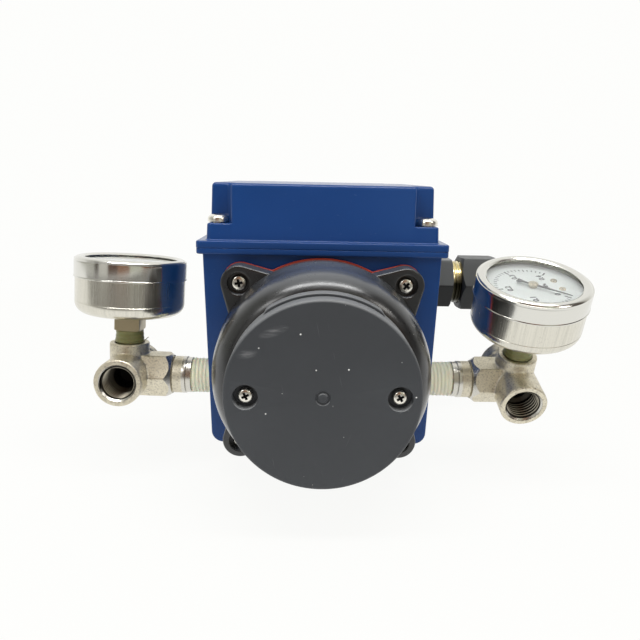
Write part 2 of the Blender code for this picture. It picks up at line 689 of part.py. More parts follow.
def make_housing():
    # The exact solver leaves open edges where this many small bores meet one casting
    body = piece("body_housing", body_shell(), BLUE_PAINT, solver="MANIFOLD")
    flange = prism(rectangle(FLANGE_HALF_WIDTH, BODY_REAR + FLANGE_REACH, FLANGE_CORNER),
                   FLANGE_LOW, FLANGE_HIGH)
    add(body, flange, "flange")
    add(body, conduit_boss(), "conduit_boss")
    cut(body, cavity(), "cavity")
    add(body, inner_bosses(), "inner_bosses")
    add(body, mounting_bosses(), "mounting_bosses")
    bores = [cylinder(BUSH_OUTER + GAP, -SHELF_OVERLAP, SHAFT_BOSS_HEIGHT + SHELF_OVERLAP, SMALL)]
    for x, y in (LEVER_PIVOT, (BEAM_X, BEAM_PIVOT_Y)):
        low, high = POST_HEIGHT - PIN_SEAT_DEPTH, POST_HEIGHT + SHELF_OVERLAP
        bores.append(shifted(cylinder(PIVOT_PIN_RADIUS + GAP, low, high, TINY), x, y))
    cut(body, combined(*bores), "shaft_and_pin_bores")
    holes = [shifted(cylinder(MOUNT_HOLE_RADIUS, -SHELF_OVERLAP, MOUNT_HOLE_DEPTH, TINY), x, y)
             for x, y in each_corner(MOUNT_HALF_X, MOUNT_HALF_Y)]
    holes += [face_hole(x, y, PILOT_SCREW_RADIUS + GAP, PILOT_SCREW_REACH + 1 * MM)
              for x, y in each_corner(EAR_PITCH, EAR_PITCH)]
    holes += [shifted(cylinder(COVER_SCREW_RADIUS + GAP, FLANGE_HIGH - COVER_SCREW_REACH,
                               FLANGE_HIGH + SHELF_OVERLAP, TINY), x, y)
              for x, y in each_corner(COVER_SCREW_X, SCREW_Y)]
    cut(body, combined(*holes), "screw_holes")
    chamber = shifted(moved(cylinder(CHAMBER_RADIUS, -CHAMBER_DEPTH, SHELF_OVERLAP, MEDIUM), FACING),
                      y=BODY_FRONT, z=PILOT_HEIGHT)
    cut(body, chamber, "pilot_chamber")
    cut(body, side_port(-1), "left_port")
    cut(body, side_port(1), "right_port")
    conduit = shifted(moved(cylinder(CONDUIT_BORE, CAVITY_HALF_WIDTH - WALL,
                                     CONDUIT_END + SHELF_OVERLAP, SMALL), TO_RIGHT),
                      y=GLAND_Y, z=GLAND_HEIGHT)
    cut(body, conduit, "conduit_bore")
    knobs = [shifted(cylinder(SPINDLE_RADIUS + GAP, FLANGE_HIGH - SPINDLE_DEPTH - GAP,
                              FLANGE_HIGH + SHELF_OVERLAP, TINY), side * KNOB_X, KNOB_Y)
             for side in (-1, 1)]
    knobs.append(shifted(cylinder(SELECTOR_RADIUS + GAP, FLANGE_HIGH - SELECTOR_DEPTH - GAP,
                                  FLANGE_HIGH + SHELF_OVERLAP, SMALL), SELECTOR_X, KNOB_Y))
    knobs.append(shifted(cylinder(COVER_SCREW_RADIUS + GAP, FLANGE_HIGH - COVER_SCREW_REACH,
                                  FLANGE_HIGH + SHELF_OVERLAP, TINY), EARTH_X, EARTH_Y))
    cut(body, combined(*knobs), "knob_holes")
    cut(body, seal_ring(GAP, FLANGE_HIGH - SEAL_HEIGHT - GAP, FLANGE_HIGH + SHELF_OVERLAP),
        "seal_groove")


def cover_ring(half_width, z):
    return at_height(rectangle(half_width, BODY_REAR - (COVER_HALF_WIDTH_LOW - half_width),
                               COVER_CORNER), z)


def make_cover():
    band = rectangle(FLANGE_HALF_WIDTH, BODY_REAR + FLANGE_REACH, FLANGE_CORNER)
    rim = COVER_HALF_WIDTH_HIGH - COVER_TOP_EDGE
    rings = [at_height(band, COVER_LOW), at_height(band, COVER_BAND_HIGH),
             cover_ring(COVER_HALF_WIDTH_LOW, COVER_BAND_HIGH)]
    for angle in (0, 30, 60, 90):
        lift, reach = math.sin(math.radians(angle)), math.cos(math.radians(angle))
        rings.append(cover_ring(rim + COVER_TOP_EDGE * reach,
                                COVER_HIGH - COVER_TOP_EDGE * (1 - lift)))
    cover = piece("front_cover", lofted(rings), BLUE_PAINT)
    pocket_y = BODY_REAR - POCKET_DEPTH_Y
    far_x, far_y = FLANGE_HALF_WIDTH + SHELF_OVERLAP, BODY_REAR + SHELF_OVERLAP
    pockets = []
    for side_x, side_y in each_corner(1, 1):
        corner = (side_x * POCKET_HALF_X, side_y * pocket_y)
        before, after = (corner[0], side_y * far_y), (side_x * far_x, corner[1])
        outline = [before] + fillet(before, corner, after, POCKET_FILLET) + [after]
        outline.append((side_x * far_x, side_y * far_y))
        pockets.append(prism(outline, POCKET_FLOOR, COVER_HIGH + SHELF_OVERLAP))
    cut(cover, combined(*pockets), "corner_pockets")
    x, y = COVER_HALF_WIDTH_HIGH - COVER_WALL, BODY_REAR - COVER_WALL
    in_x, in_y = POCKET_HALF_X - COVER_WALL, pocket_y - COVER_WALL
    corners = []
    for side_x, side_y in each_corner(1, 1):
        bend = [(in_x, y), (in_x, in_y), (x, in_y)]
        if side_x * side_y > 0:
            bend.reverse()
        corners += [(side_x * px, side_y * py) for px, py in bend]
    hollow = prism(rounded(corners, 1.5 * MM, 2), COVER_LOW - SHELF_OVERLAP, COVER_HIGH - COVER_WALL)
    cut(cover, hollow, "hollow")
    holes = [shifted(cylinder(COVER_SCREW_RADIUS + GAP, COVER_LOW - SHELF_OVERLAP,
                              POCKET_FLOOR + SHELF_OVERLAP, TINY), x, y)
             for x, y in each_corner(COVER_SCREW_X, SCREW_Y)]
    cut(cover, combined(*holes), "screw_holes")
    piece("cover_seal", seal_ring(0, FLANGE_HIGH - SEAL_HEIGHT, FLANGE_HIGH), BLACK_RUBBER)
    seat = POCKET_FLOOR + GAP
    reach = POCKET_FLOOR - (FLANGE_HIGH - COVER_SCREW_REACH)
    for i, (x, y) in enumerate(each_corner(COVER_SCREW_X, SCREW_Y)):
        screw = pan_head(COVER_SCREW_HEAD, COVER_SCREW_HEAD_HEIGHT, COVER_SCREW_RADIUS, reach)
        piece(f"cover_screw_{i + 1}", screw, BRIGHT_STEEL, None, (x, y, seat))


# Pilot valve, built along local Z out of the pilot face, with local Y up

def eared_outline(radius, inset, ear_steps=7, circle_steps=8):
    """A disc with four ears, whose webs run tangent to the ears down to the disc."""
    reach = EAR_PITCH * math.sqrt(2)
    ear = EAR_RADIUS - inset
    disc = radius - inset
    tip = Vector((reach + ear * math.sin(math.radians(WEB_ANGLE)),
                  ear * math.cos(math.radians(WEB_ANGLE))))
    slope = Vector((-math.cos(math.radians(WEB_ANGLE)), math.sin(math.radians(WEB_ANGLE))))
    along = -tip.dot(slope) - math.sqrt(tip.dot(slope) ** 2 - tip.length_squared + disc ** 2)
    foot = tip + slope * along
    foot_angle = math.degrees(math.atan2(foot.y, foot.x))
    half_turn = 90 - WEB_ANGLE
    outline = []
    for k in range(4):
        axis = 45 + 90 * k
        centre = (reach * math.cos(math.radians(axis)), reach * math.sin(math.radians(axis)))
        outline += arc((0, 0), disc, axis - 90 + foot_angle, axis - foot_angle, circle_steps)
        outline += arc(centre, ear, axis - half_turn, axis + half_turn, ear_steps)
    return outline


def stepped_hole(low, face):
    """A screw's clearance hole from low, opening into a counterbore at the face."""
    hole, head, seat = PILOT_SCREW_RADIUS + GAP, COUNTERBORE_RADIUS, face - COUNTERBORE_DEPTH
    return turned([(0, low), (hole, low), (hole, seat), (head, seat), (head, face + SHELF_OVERLAP),
                   (0, face + SHELF_OVERLAP)], SMALL)


def at_ears(shapes):
    return combined(*[shifted(shape, x, y)
                      for shape, (x, y) in zip(shapes, each_corner(EAR_PITCH, EAR_PITCH))])


def dome_profile():
    profile = [(PILOT_BORE, PILOT_BACK), (DOME_ROOT_RADIUS, PILOT_BACK),
               (DOME_ROOT_RADIUS, FLANGE_REACH + 2 * GAP), (DOME_RADIUS, DOME_WIDEST_AT)]
    depth = DOME_FRONT - DOME_SHOULDER_AT
    for angle in (0, 18, 36, 54, 72, 90):
        c, s = math.cos(math.radians(angle)), math.sin(math.radians(angle))
        profile.append((DOME_FRONT_RADIUS + (DOME_SHOULDER_RADIUS - DOME_FRONT_RADIUS) * c,
                        DOME_SHOULDER_AT + depth * s))
    return profile + [(DIAPHRAGM_BORE, DOME_FRONT), (DIAPHRAGM_BORE, DIAPHRAGM_SEAT),
                      (PILOT_BORE, DIAPHRAGM_SEAT)]


def make_pilot_housing(axis):
    margin = -GASKET_MARGIN
    gasket = piece("pilot_gasket", prism(eared_outline(GASKET_DISC_RADIUS, margin), GASKET_LOW,
                                         GASKET_HIGH), RED_SILICONE, axis)
    cut(gasket, cylinder(CHAMBER_RADIUS, 0, PILOT_BACK, MEDIUM), "chamber_opening")
    holes = [cylinder(PILOT_SCREW_RADIUS + GAP, 0, PILOT_BACK, TINY) for _ in range(4)]
    cut(gasket, at_ears(holes), "screw_holes")
    housing = piece("pilot_housing", turned(dome_profile(), LARGE, True), BLACK_PLASTIC, axis)
    sunk = DOME_ROOT_RADIUS - 1 * MM
    ears = lofted([at_height(eared_outline(sunk, 0), PILOT_BACK),
                   at_height(eared_outline(sunk, 0), EAR_PLANE - EAR_EDGE),
                   at_height(eared_outline(sunk, EAR_EDGE), EAR_PLANE)])
    add(housing, ears, "ears")
    clear = cylinder(PILOT_BORE, 0, EAR_PLANE + SHELF_OVERLAP, SMALL)
    cut(housing, clear, "bore")
    cut(housing, at_ears([stepped_hole(0, EAR_PLANE) for _ in range(4)]), "screw_holes")
    cap_holes = [shifted(cylinder(PILOT_SCREW_RADIUS + GAP, DOME_FRONT - PILOT_SCREW_REACH,
                                  DOME_FRONT + SHELF_OVERLAP, TINY), side * CAP_SCREW_PITCH)
                 for side in (-1, 1)]
    cut(housing, combined(*cap_holes), "cap_screw_holes")
    seat = EAR_PLANE - COUNTERBORE_DEPTH + GAP
    for i, (x, y) in enumerate(each_corner(EAR_PITCH, EAR_PITCH)):
        screw = pan_head(PILOT_SCREW_HEAD, PILOT_SCREW_HEAD_HEIGHT, PILOT_SCREW_RADIUS,
                         seat + PILOT_SCREW_REACH)
        piece(f"pilot_screw_{i + 1}", screw, BRIGHT_STEEL, axis, (x, y, seat))


def make_pilot_cap(axis):
    spigot = DIAPHRAGM_BORE - GAP
    spigot_back = DIAPHRAGM_SEAT + GAP + DIAPHRAGM_THICKNESS + GAP
    pip = CAP_PIP_RADIUS
    front = CAP_FRONT
    profile = [(0, CAP_RECESS_AT), (CAP_RECESS_RADIUS, CAP_RECESS_AT),
               (CAP_RECESS_RADIUS, spigot_back), (spigot, spigot_back), (spigot, CAP_BACK),
               (CAP_RADIUS, CAP_BACK), (CAP_RADIUS, front - CAP_BEVEL),
               (CAP_RADIUS - CAP_BEVEL, front), (pip, front), (0.8 * pip, front - 0.25 * MM),
               (0, front + 0.1 * MM)]
    cap = piece("pilot_cap", turned(profile, LARGE), BLACK_PLASTIC, axis)
    start, end = 90 - CAP_LIP_ANGLE, 90 + CAP_LIP_ANGLE
    lip_outline = (arc((0, 0), CAP_RADIUS + CAP_LIP, start, end, 18)
                   + arc((0, 0), CAP_RADIUS - SHELF_OVERLAP, end, start, 18))
    add(cap, prism(lip_outline, CAP_BACK + 0.1 * MM, CAP_BACK + CAP_LIP_LENGTH), "lip")
    holes = []
    seat = CAP_FRONT - COUNTERBORE_DEPTH + GAP
    for i, side in enumerate((-1, 1)):
        x = side * CAP_SCREW_PITCH
        holes.append(shifted(stepped_hole(CAP_BACK - SHELF_OVERLAP, CAP_FRONT), x))
        reach = seat - (DOME_FRONT - PILOT_SCREW_REACH) - GAP
        screw = pan_head(CAP_SCREW_HEAD, PILOT_SCREW_HEAD_HEIGHT, PILOT_SCREW_RADIUS, reach)
        piece(f"cap_screw_{i + 1}", screw, BRIGHT_STEEL, axis, (x, 0, seat))
    cut(cap, combined(*holes), "screw_holes")


def make_pilot_works(axis):
    """Sleeve, spool with its diaphragm plate, diaphragm and return spring."""
    land = SLEEVE_BORE - GAP
    waist = land - 2 * MM
    outer = PILOT_BORE - GAP
    groove = outer - 1 * MM
    back, front = -SLEEVE_BACK, SLEEVE_FRONT
    sleeve = [(SLEEVE_BORE, back), (outer, back), (outer, 2 * MM), (groove, 2.5 * MM),
              (groove, 5 * MM), (outer, 5.5 * MM), (outer, 12 * MM), (groove, 12.5 * MM),
              (groove, 15 * MM), (outer, 15.5 * MM), (outer, front), (SLEEVE_BORE, front)]
    piece("pilot_sleeve", turned(sleeve, SMALL, True), BRIGHT_STEEL, axis)
    plate_low = DIAPHRAGM_SEAT + GAP
    plate_high = plate_low + DIAPHRAGM_THICKNESS + GAP
    plate = DIAPHRAGM_HOLE - 2 * GAP
    spool = [(0, back + 2 * MM), (land, back + 2 * MM), (land, -6 * MM), (waist, -5 * MM),
             (waist, 3 * MM), (land, 4 * MM), (land, 10 * MM), (waist, 11 * MM), (waist, 17 * MM),
             (land, 18 * MM), (land, front), (waist, front + 1 * MM), (waist, plate_low),
             (plate, plate_low), (plate, plate_high), (0, plate_high)]
    piece("pilot_spool", turned(spool, SMALL), BRIGHT_STEEL, axis)
    piece("pilot_diaphragm", tube(DIAPHRAGM_HOLE, DIAPHRAGM_BORE - GAP, plate_low,
                                  plate_low + DIAPHRAGM_THICKNESS, MEDIUM), BLACK_RUBBER, axis)
    low = plate_high + GAP + SPRING_WIRE
    high = CAP_RECESS_AT - GAP - SPRING_WIRE
    turns, per_turn = 3.5, 10
    path = []
    for i in range(int(turns * per_turn) + 1):
        angle = 2 * math.pi * i / per_turn
        z = low + (high - low) * i / (turns * per_turn)
        path.append(Vector((SPRING_RADIUS * math.cos(angle), SPRING_RADIUS * math.sin(angle), z)))
    piece("spool_spring", swept(path, SPRING_WIRE, 5), BRIGHT_STEEL, axis)


# Elbow tees and gauges, built from the junction: local -Y is the open port, local Z the gauge

def make_tee(name, frame, toward_body):
    """toward_body turns local Z to the housing."""
    arm = [(0, 0), (COLLAR_RADIUS - 0.6 * MM, 0), (COLLAR_RADIUS - 0.6 * MM, COLLAR_START - 0.6 * MM),
           (COLLAR_RADIUS, COLLAR_START), (COLLAR_RADIUS, COLLAR_END - 0.4 * MM),
           (RING_RADIUS, COLLAR_END), (RING_RADIUS, RING_END), (NIPPLE_RADIUS, RING_END + 0.3 * MM),
           (NIPPLE_RADIUS, NIPPLE_END - THREAD_CHAMFER),
           (NIPPLE_RADIUS - THREAD_CHAMFER, NIPPLE_END), (0, NIPPLE_END)]
    tee = piece(f"{name}_tee", moved(turned(arm, SMALL), toward_body), CAST_STEEL, frame)
    corner = HEX_FLATS / 2 / math.cos(math.radians(30))
    hexed = lofted([at_height(arc((0, 0), r, 30, 390, 6)[:-1], z) for r, z in (
        (corner, 2 * MM), (corner, HEX_END), (corner - HEX_CHAMFER, HEX_END + HEX_CHAMFER))])
    add(tee, moved(hexed, toward_body), "hexagon")
    b, band = BARREL_RADIUS, BAND_RADIUS
    barrel = [(0, -BARREL_BACK)]
    for angle in (90, 60, 30, 0):
        c, s = math.cos(math.radians(angle)), math.sin(math.radians(angle))
        barrel.append((band - BARREL_ROUND * (1 - c), -BARREL_BACK + BARREL_ROUND * (1 - s)))
    barrel += [(band, BAND_LENGTH - BARREL_BACK), (b, BAND_LENGTH + band - b - BARREL_BACK)]
    barrel += [(b, BARREL_FRONT - 0.4 * MM), (b - 0.4 * MM, BARREL_FRONT), (0, BARREL_FRONT)]
    add(tee, moved(turned(barrel, SMALL + 4), FACING), "barrel")
    boss = [(0, 1 * MM), (BOSS_RADIUS, 1 * MM), (BOSS_RADIUS, BOSS_HEIGHT - 0.5 * MM),
            (BOSS_RADIUS - 0.5 * MM, BOSS_HEIGHT), (0, BOSS_HEIGHT)]
    add(tee, turned(boss, SMALL + 2), "gauge_boss")
    port = [(0, BARREL_FRONT - TEE_PORT_DEPTH), (TEE_PORT_RADIUS, BARREL_FRONT - TEE_PORT_DEPTH),
            (TEE_PORT_RADIUS, BARREL_FRONT - 1 * MM), (TEE_PORT_RADIUS + 0.8 * MM, BARREL_FRONT),
            (TEE_PORT_RADIUS + 0.8 * MM, BARREL_FRONT + SHELF_OVERLAP),
            (0, BARREL_FRONT + SHELF_OVERLAP)]
    cut(tee, moved(turned(port, SMALL), FACING), "open_port")
    seat = BOSS_HEIGHT - STEM_BORE_DEPTH
    cut(tee, cylinder(STEM_BORE, seat, BOSS_HEIGHT + SHELF_OVERLAP, SMALL - 2), "gauge_bore")
    cut(tee, moved(cylinder(NIPPLE_BORE, 0, NIPPLE_END + SHELF_OVERLAP, TINY), toward_body),
        "nipple_bore")


def case_profile():
    """The drawn cup of the gauge, outside then inside."""
    outer, wall = CASE_RADIUS, CASE_SHEET
    hole = STEM_NECK + GAP
    bend = [(math.cos(math.radians(a)), math.sin(math.radians(a))) for a in (-90, -60, -30, 0)]
    centre = (outer - CASE_ROUND, CASE_LOW + CASE_ROUND)
    outside = [(centre[0] + CASE_ROUND * c, centre[1] + CASE_ROUND * s) for c, s in bend]
    inside = [(centre[0] + (CASE_ROUND - wall) * c, centre[1] + (CASE_ROUND - wall) * s)
              for c, s in reversed(bend)]
    return ([(hole, CASE_LOW)] + outside + [(outer, CASE_HIGH), (outer - wall, CASE_HIGH)]
            + inside + [(hole, CASE_LOW + wall)])


def bezel_profile():
    inner = CASE_RADIUS + GAP
    lip_low = CASE_HIGH + WINDOW_THICKNESS + 2 * GAP
    profile = [(inner, BEZEL_LOW), (BEZEL_RADIUS, BEZEL_LOW)]
    centre = (BEZEL_RADIUS - BEZEL_ROUND, BEZEL_HIGH - BEZEL_ROUND)
    profile += [(centre[0] + BEZEL_ROUND * math.cos(math.radians(a)),
                 centre[1] + BEZEL_ROUND * math.sin(math.radians(a))) for a in (0, 30, 60, 90)]
    return profile + [(WINDOW_RADIUS + 0.6 * MM, BEZEL_HIGH - 0.2 * MM), (WINDOW_RADIUS, lip_low),
                      (inner, lip_low)]


def make_movement(name, frame):
    """The sector block and C-shaped tube that turn pressure into the pointer's swing."""
    low = CASE_LOW + CASE_SHEET + GAP
    centre = Vector((0, 0, (low + MOVEMENT_HIGH) / 2))
    path = [centre + Vector((x, y, 0)) for x, y in arc((0, 0), BOURDON_RADIUS, 180, 410, 14)]
    movement = piece(f"{name}_gauge_movement",
                     box((-STEM_NECK, -STEM_NECK, STEM_HEX_HIGH + 4 * MM),
                         (STEM_NECK, STEM_NECK, MOVEMENT_HIGH)), BRASS, frame)
    arm = box((-BOURDON_RADIUS - 1.5 * MM, -2 * MM, centre.z - 2 * MM),
              (0, 2 * MM, centre.z + 2 * MM))
    add(movement, arm, "tube_block")
    add(movement, swept(path, 1.2 * MM, 6), "bourdon_tube")


def make_gauge(name, frame):
    thread_low = BOSS_HEIGHT - STEM_BORE_DEPTH + GAP
    stem = [(0, thread_low), (STEM_THREAD_RADIUS - THREAD_CHAMFER, thread_low),
            (STEM_THREAD_RADIUS, thread_low + THREAD_CHAMFER), (STEM_THREAD_RADIUS, STEM_HEX_LOW - GAP),
            (STEM_NECK - 0.4 * MM, STEM_HEX_LOW - GAP),
            (STEM_NECK - 0.4 * MM, STEM_HEX_HIGH - 0.5 * MM), (STEM_NECK, STEM_HEX_HIGH - 0.5 * MM),
            (STEM_NECK, STEM_HEX_HIGH + 4 * MM - GAP), (0, STEM_HEX_HIGH + 4 * MM - GAP)]
    body = piece(f"{name}_gauge_stem", turned(stem, TINY), BRASS, frame)
    add(body, hexagon(STEM_FLATS, STEM_HEX_LOW, STEM_HEX_HIGH), "hexagon")
    piece(f"{name}_gauge_case", turned(case_profile(), MEDIUM, True), BRIGHT_STEEL, frame)
    piece(f"{name}_gauge_bezel", turned(bezel_profile(), MEDIUM, True), BRIGHT_STEEL, frame)
    window_low = CASE_HIGH + GAP
    piece(f"{name}_gauge_window", cylinder(CASE_RADIUS - GAP, window_low,
                                           window_low + WINDOW_THICKNESS, MEDIUM),
          CLEAR_WINDOW, frame)
    piece(f"{name}_gauge_dial", tube(POINTER_SHAFT + GAP, CASE_RADIUS - CASE_SHEET - GAP,
                                     DIAL_FACE - DIAL_THICKNESS, DIAL_FACE, MEDIUM),
          WHITE_ENAMEL, frame)
    make_movement(name, frame)
    low = DIAL_FACE + GAP
    top = CASE_HIGH
    hub = [(0, MOVEMENT_HIGH + GAP), (POINTER_SHAFT, MOVEMENT_HIGH + GAP), (POINTER_SHAFT, low),
           (POINTER_HUB, low), (POINTER_HUB, top - 0.3 * MM), (POINTER_HUB - 0.4 * MM, top), (0, top)]
    pointer = piece(f"{name}_gauge_pointer", turned(hub, TINY), BLACK_PAINT, frame)
    outline = [(-POINTER_TAIL, -0.8 * MM), (0, -1.0 * MM), (POINTER_TIP * 0.6, -0.5 * MM),
               (POINTER_TIP, -0.12 * MM), (POINTER_TIP, 0.12 * MM), (POINTER_TIP * 0.6, 0.5 * MM),
               (0, 1.0 * MM), (-POINTER_TAIL, 0.8 * MM)]
    blade = moved(prism(outline, low + 0.1 * MM, low + 0.1 * MM + POINTER_THICKNESS),
                  Matrix.Rotation(math.radians(POINTER_ZERO), 4, "Z"))
    add(pointer, blade, "blade")


def make_side(name, side, standoff, lean, tilt, gauge_tilt):
    """One tee with its gauge, turned on its nipple by lean and off square by the tilts."""
    rise = standoff * math.sin(math.radians(tilt))
    run = standoff * math.cos(math.radians(tilt))
    place = Vector((side * (BODY_HALF_WIDTH_LOW + run), PORT_WORLD_Y, PORT_HEIGHT + rise))
    turn = (Matrix.Rotation(math.radians(-side * tilt), 4, "Y")
            @ Matrix.Rotation(math.radians(lean), 4, "X"))
    frame = frame_empty(f"{name}_tee_frame", place, turn)
    make_tee(name, frame, TO_LEFT if side > 0 else TO_RIGHT)
    stem = Matrix.Rotation(math.radians(gauge_tilt), 4, "Y")
    seat = Vector((0, 0, BOSS_HEIGHT))
    stem = turn @ Matrix.Translation(seat) @ stem @ Matrix.Translation(-seat)
    make_gauge(name, frame_empty(f"{name}_gauge_frame", place, stem))


# Cable gland, built along +X

def make_gland():
    axis = frame_empty("gland_axis", (0, GLAND_Y, GLAND_HEIGHT), TO_RIGHT)
    seat = CONDUIT_END + GAP
    spigot = CONDUIT_BORE - GAP
    adaptor = piece("gland_adaptor", hexagon(ADAPTOR_FLATS, seat, ADAPTOR_END, 30), BLACK_PLASTIC,
                    axis)
    add(adaptor, cylinder(spigot, seat - 8 * MM, seat + 3 * MM, SMALL), "spigot")
    cut(adaptor, cylinder(ADAPTOR_BORE, seat - 10 * MM, ADAPTOR_END + SHELF_OVERLAP, SMALL), "bore")
    start = ADAPTOR_END + GAP
    end = NUT_END - 5 * MM
    inner = CABLE_RADIUS + 2.5 * MM
    neck = ADAPTOR_BORE - GAP
    body = [(inner, start - 5 * MM), (neck, start - 5 * MM), (neck, start),
            (GLAND_THREAD_RADIUS, start), (GLAND_THREAD_RADIUS, end - 1 * MM),
            (GLAND_THREAD_RADIUS - 1 * MM, end), (inner, end)]
    piece("gland_body", turned(body, SMALL, True), BRASS, axis)
    piece("gland_seal", tube(CABLE_RADIUS, inner - GAP, end - 8 * MM, end, SMALL), BLACK_RUBBER,
          axis)
    corner = NUT_FLATS / 2 / math.cos(math.radians(30))
    skin = lofted([at_height(arc((0, 0), r, 30, 390, 6)[:-1], z) for r, z in (
        (corner, NUT_START), (corner, NUT_END - NUT_CHAMFER), (corner - NUT_CHAMFER, NUT_END))])
    nut = piece("gland_nut", skin, BLACK_PLASTIC, axis)
    cut(nut, cylinder(GLAND_THREAD_RADIUS + GAP, NUT_START - SHELF_OVERLAP, end + GAP, SMALL),
        "thread")
    cut(nut, cylinder(NUT_MOUTH, NUT_START, NUT_END + SHELF_OVERLAP, SMALL), "mouth")


# Feedback train

def follower_centre(turn):
    """The roller's centre, in the frame of a cam that has turned by this many degrees."""
    swing = -math.radians(LEVER_RATIO * turn)
    arm = ROLLER_CENTRE - LEVER_PIVOT
    c, s = math.cos(swing), math.sin(swing)
    world = LEVER_PIVOT + Vector((c * arm.x - s * arm.y, s * arm.x + c * arm.y))
    c, s = math.cos(-math.radians(turn)), math.sin(-math.radians(turn))
    return Vector((c * world.x - s * world.y, s * world.x + c * world.y))


def cam_edge(steps=26):
    """The edge that gives the lever a constant ratio to the shaft: the roller's path, set in."""
    start, end = -CAM_OVERTRAVEL, SHAFT_TURN + CAM_OVERTRAVEL
    edge = []
    for i in range(steps + 1):
        turn = start + (end - start) * i / steps
        centre = follower_centre(turn)
        along = (follower_centre(turn + 0.5) - follower_centre(turn - 0.5)).normalized()
        inward = Vector((along.y, -along.x))
        if inward.dot(centre) > 0:
            inward.negate()
        edge.append(centre + inward * (ROLLER_RADIUS + GAP))
    return edge


def covered_angle(edge):
    """The signed angle that the edge covers about the shaft."""
    return math.degrees(sum(math.atan2(a.x * b.y - a.y * b.x, a.dot(b))
                            for a, b in zip(edge, edge[1:])))


def make_shaft():
    groove_low = -GAP - CIRCLIP_THICKNESS - 2 * GAP
    groove = SHAFT_RADIUS - 0.7 * MM
    profile = [(0, -SHAFT_PROUD), (SHAFT_RADIUS - 0.5 * MM, -SHAFT_PROUD),
               (SHAFT_RADIUS, -SHAFT_PROUD + 0.5 * MM), (SHAFT_RADIUS, groove_low),
               (groove, groove_low), (groove, -GAP), (SHAFT_RADIUS, -GAP),
               (SHAFT_RADIUS, SHAFT_COLLAR_LOW), (SHAFT_COLLAR, SHAFT_COLLAR_LOW),
               (SHAFT_COLLAR, SHAFT_COLLAR_LOW + COLLAR_THICKNESS),
               (SHAFT_RADIUS, SHAFT_COLLAR_LOW + COLLAR_THICKNESS), (SHAFT_RADIUS, SHAFT_TOP),
               (0, SHAFT_TOP)]
    shaft = piece("feedback_shaft", turned(profile, SMALL), BRIGHT_STEEL)
    reach = SHAFT_RADIUS + SHELF_OVERLAP
    flat = box((SHAFT_RADIUS - SHAFT_FLAT, -reach, -SHAFT_PROUD - SHELF_OVERLAP),
               (reach, reach, -SHAFT_PROUD / 3))
    cut(shaft, flat, "lever_flat")
    inner = SHAFT_RADIUS + GAP
    piece("lower_shaft_bush", tube(inner, BUSH_OUTER, 0, BUSH_LENGTH, SMALL), BRASS)
    piece("upper_shaft_bush", tube(inner, BUSH_OUTER, SHAFT_BOSS_HEIGHT - BUSH_LENGTH,
                                   SHAFT_BOSS_HEIGHT, SMALL), BRASS)
    opening = 40
    outline = (arc((0, 0), SHAFT_RADIUS + 2.4 * MM, opening, 360 - opening, 14)
               + arc((0, 0), groove + GAP, 360 - opening, opening, 14))
    low = groove_low + GAP
    piece("shaft_circlip", prism(outline, low, low + CIRCLIP_THICKNESS), BRIGHT_STEEL)


def make_cam():
    edge = cam_edge()
    covered = covered_angle(edge)
    last = math.degrees(math.atan2(edge[-1].y, edge[-1].x))
    side = math.copysign(1, covered)
    rest = arc((0, 0), CAM_HUB_RADIUS + 1 * MM, last + side * CAM_SHOULDER,
               last + side * (360 - abs(covered) - CAM_SHOULDER), 12)
    cam = piece("feedback_cam", prism([tuple(point) for point in edge] + rest, CAM_LOW, CAM_HIGH),
                BRIGHT_STEEL)
    add(cam, cylinder(CAM_HUB_RADIUS, CAM_LOW + CAM_THICKNESS / 2, CAM_HIGH + CAM_HUB_HEIGHT, SMALL),
        "hub")
    cut(cam, cylinder(SHAFT_RADIUS + GAP, CAM_LOW - SHELF_OVERLAP,
                      CAM_HIGH + CAM_HUB_HEIGHT + SHELF_OVERLAP, SMALL), "bore")
    nut_low = CAM_HIGH + CAM_HUB_HEIGHT + GAP
    nut = piece("cam_nut", hexagon(CAM_NUT_FLATS, nut_low, nut_low + CAM_NUT_HEIGHT), BRIGHT_STEEL)
    cut(nut, cylinder(SHAFT_RADIUS + GAP, nut_low - SHELF_OVERLAP,
                      nut_low + CAM_NUT_HEIGHT + SHELF_OVERLAP, SMALL), "thread")


def bar_outline(first, last, half_width, steps=8):
    """A flat bar with round ends between two points."""
    along = math.degrees(math.atan2(last.y - first.y, last.x - first.x))
    return (arc(last, half_width, along - 90, along + 90, steps)
            + arc(first, half_width, along + 90, along + 270, steps))


def hook_pin(radius, low, high, x, y):
    return shifted(cylinder(radius, low, high, TINY // 2), x, y)


def make_follower():
    arm = LEVER_HOOK - LEVER_PIVOT
    lever = piece("follower_lever", shifted(prism(bar_outline(Vector((0, 0)), arm, LEVER_WIDTH),
                                                  LEVER_LOW, LEVER_HIGH), *LEVER_PIVOT),
                  BRIGHT_STEEL)
    toe = bar_outline(ROLLER_CENTRE, LEVER_PIVOT + arm * 0.6, LEVER_WIDTH)
    add(lever, prism(toe, LEVER_LOW + 0.05 * MM, LEVER_HIGH - 0.05 * MM), "roller_lug")
    axle_low = CAM_LOW - 1 * MM
    add(lever, shifted(cylinder(ROLLER_AXLE, axle_low, LEVER_LOW + 1 * MM, TINY), *ROLLER_CENTRE),
        "roller_axle")
    add(lever, hook_pin(0.9 * MM, LEVER_LOW + 0.5 * MM, HOOK_TOP, *LEVER_HOOK), "spring_peg")
    cut(lever, shifted(cylinder(PIVOT_PIN_RADIUS + GAP, LEVER_LOW - SHELF_OVERLAP,
                                LEVER_HIGH + SHELF_OVERLAP, TINY), *LEVER_PIVOT), "pivot_hole")
    piece("follower_roller", tube(ROLLER_AXLE + GAP, ROLLER_RADIUS, CAM_LOW, CAM_HIGH, SMALL),
          BRASS, None, (*ROLLER_CENTRE, 0))
    make_pivot_pin("follower_pivot_pin", LEVER_PIVOT, LEVER_LOW, LEVER_HIGH)


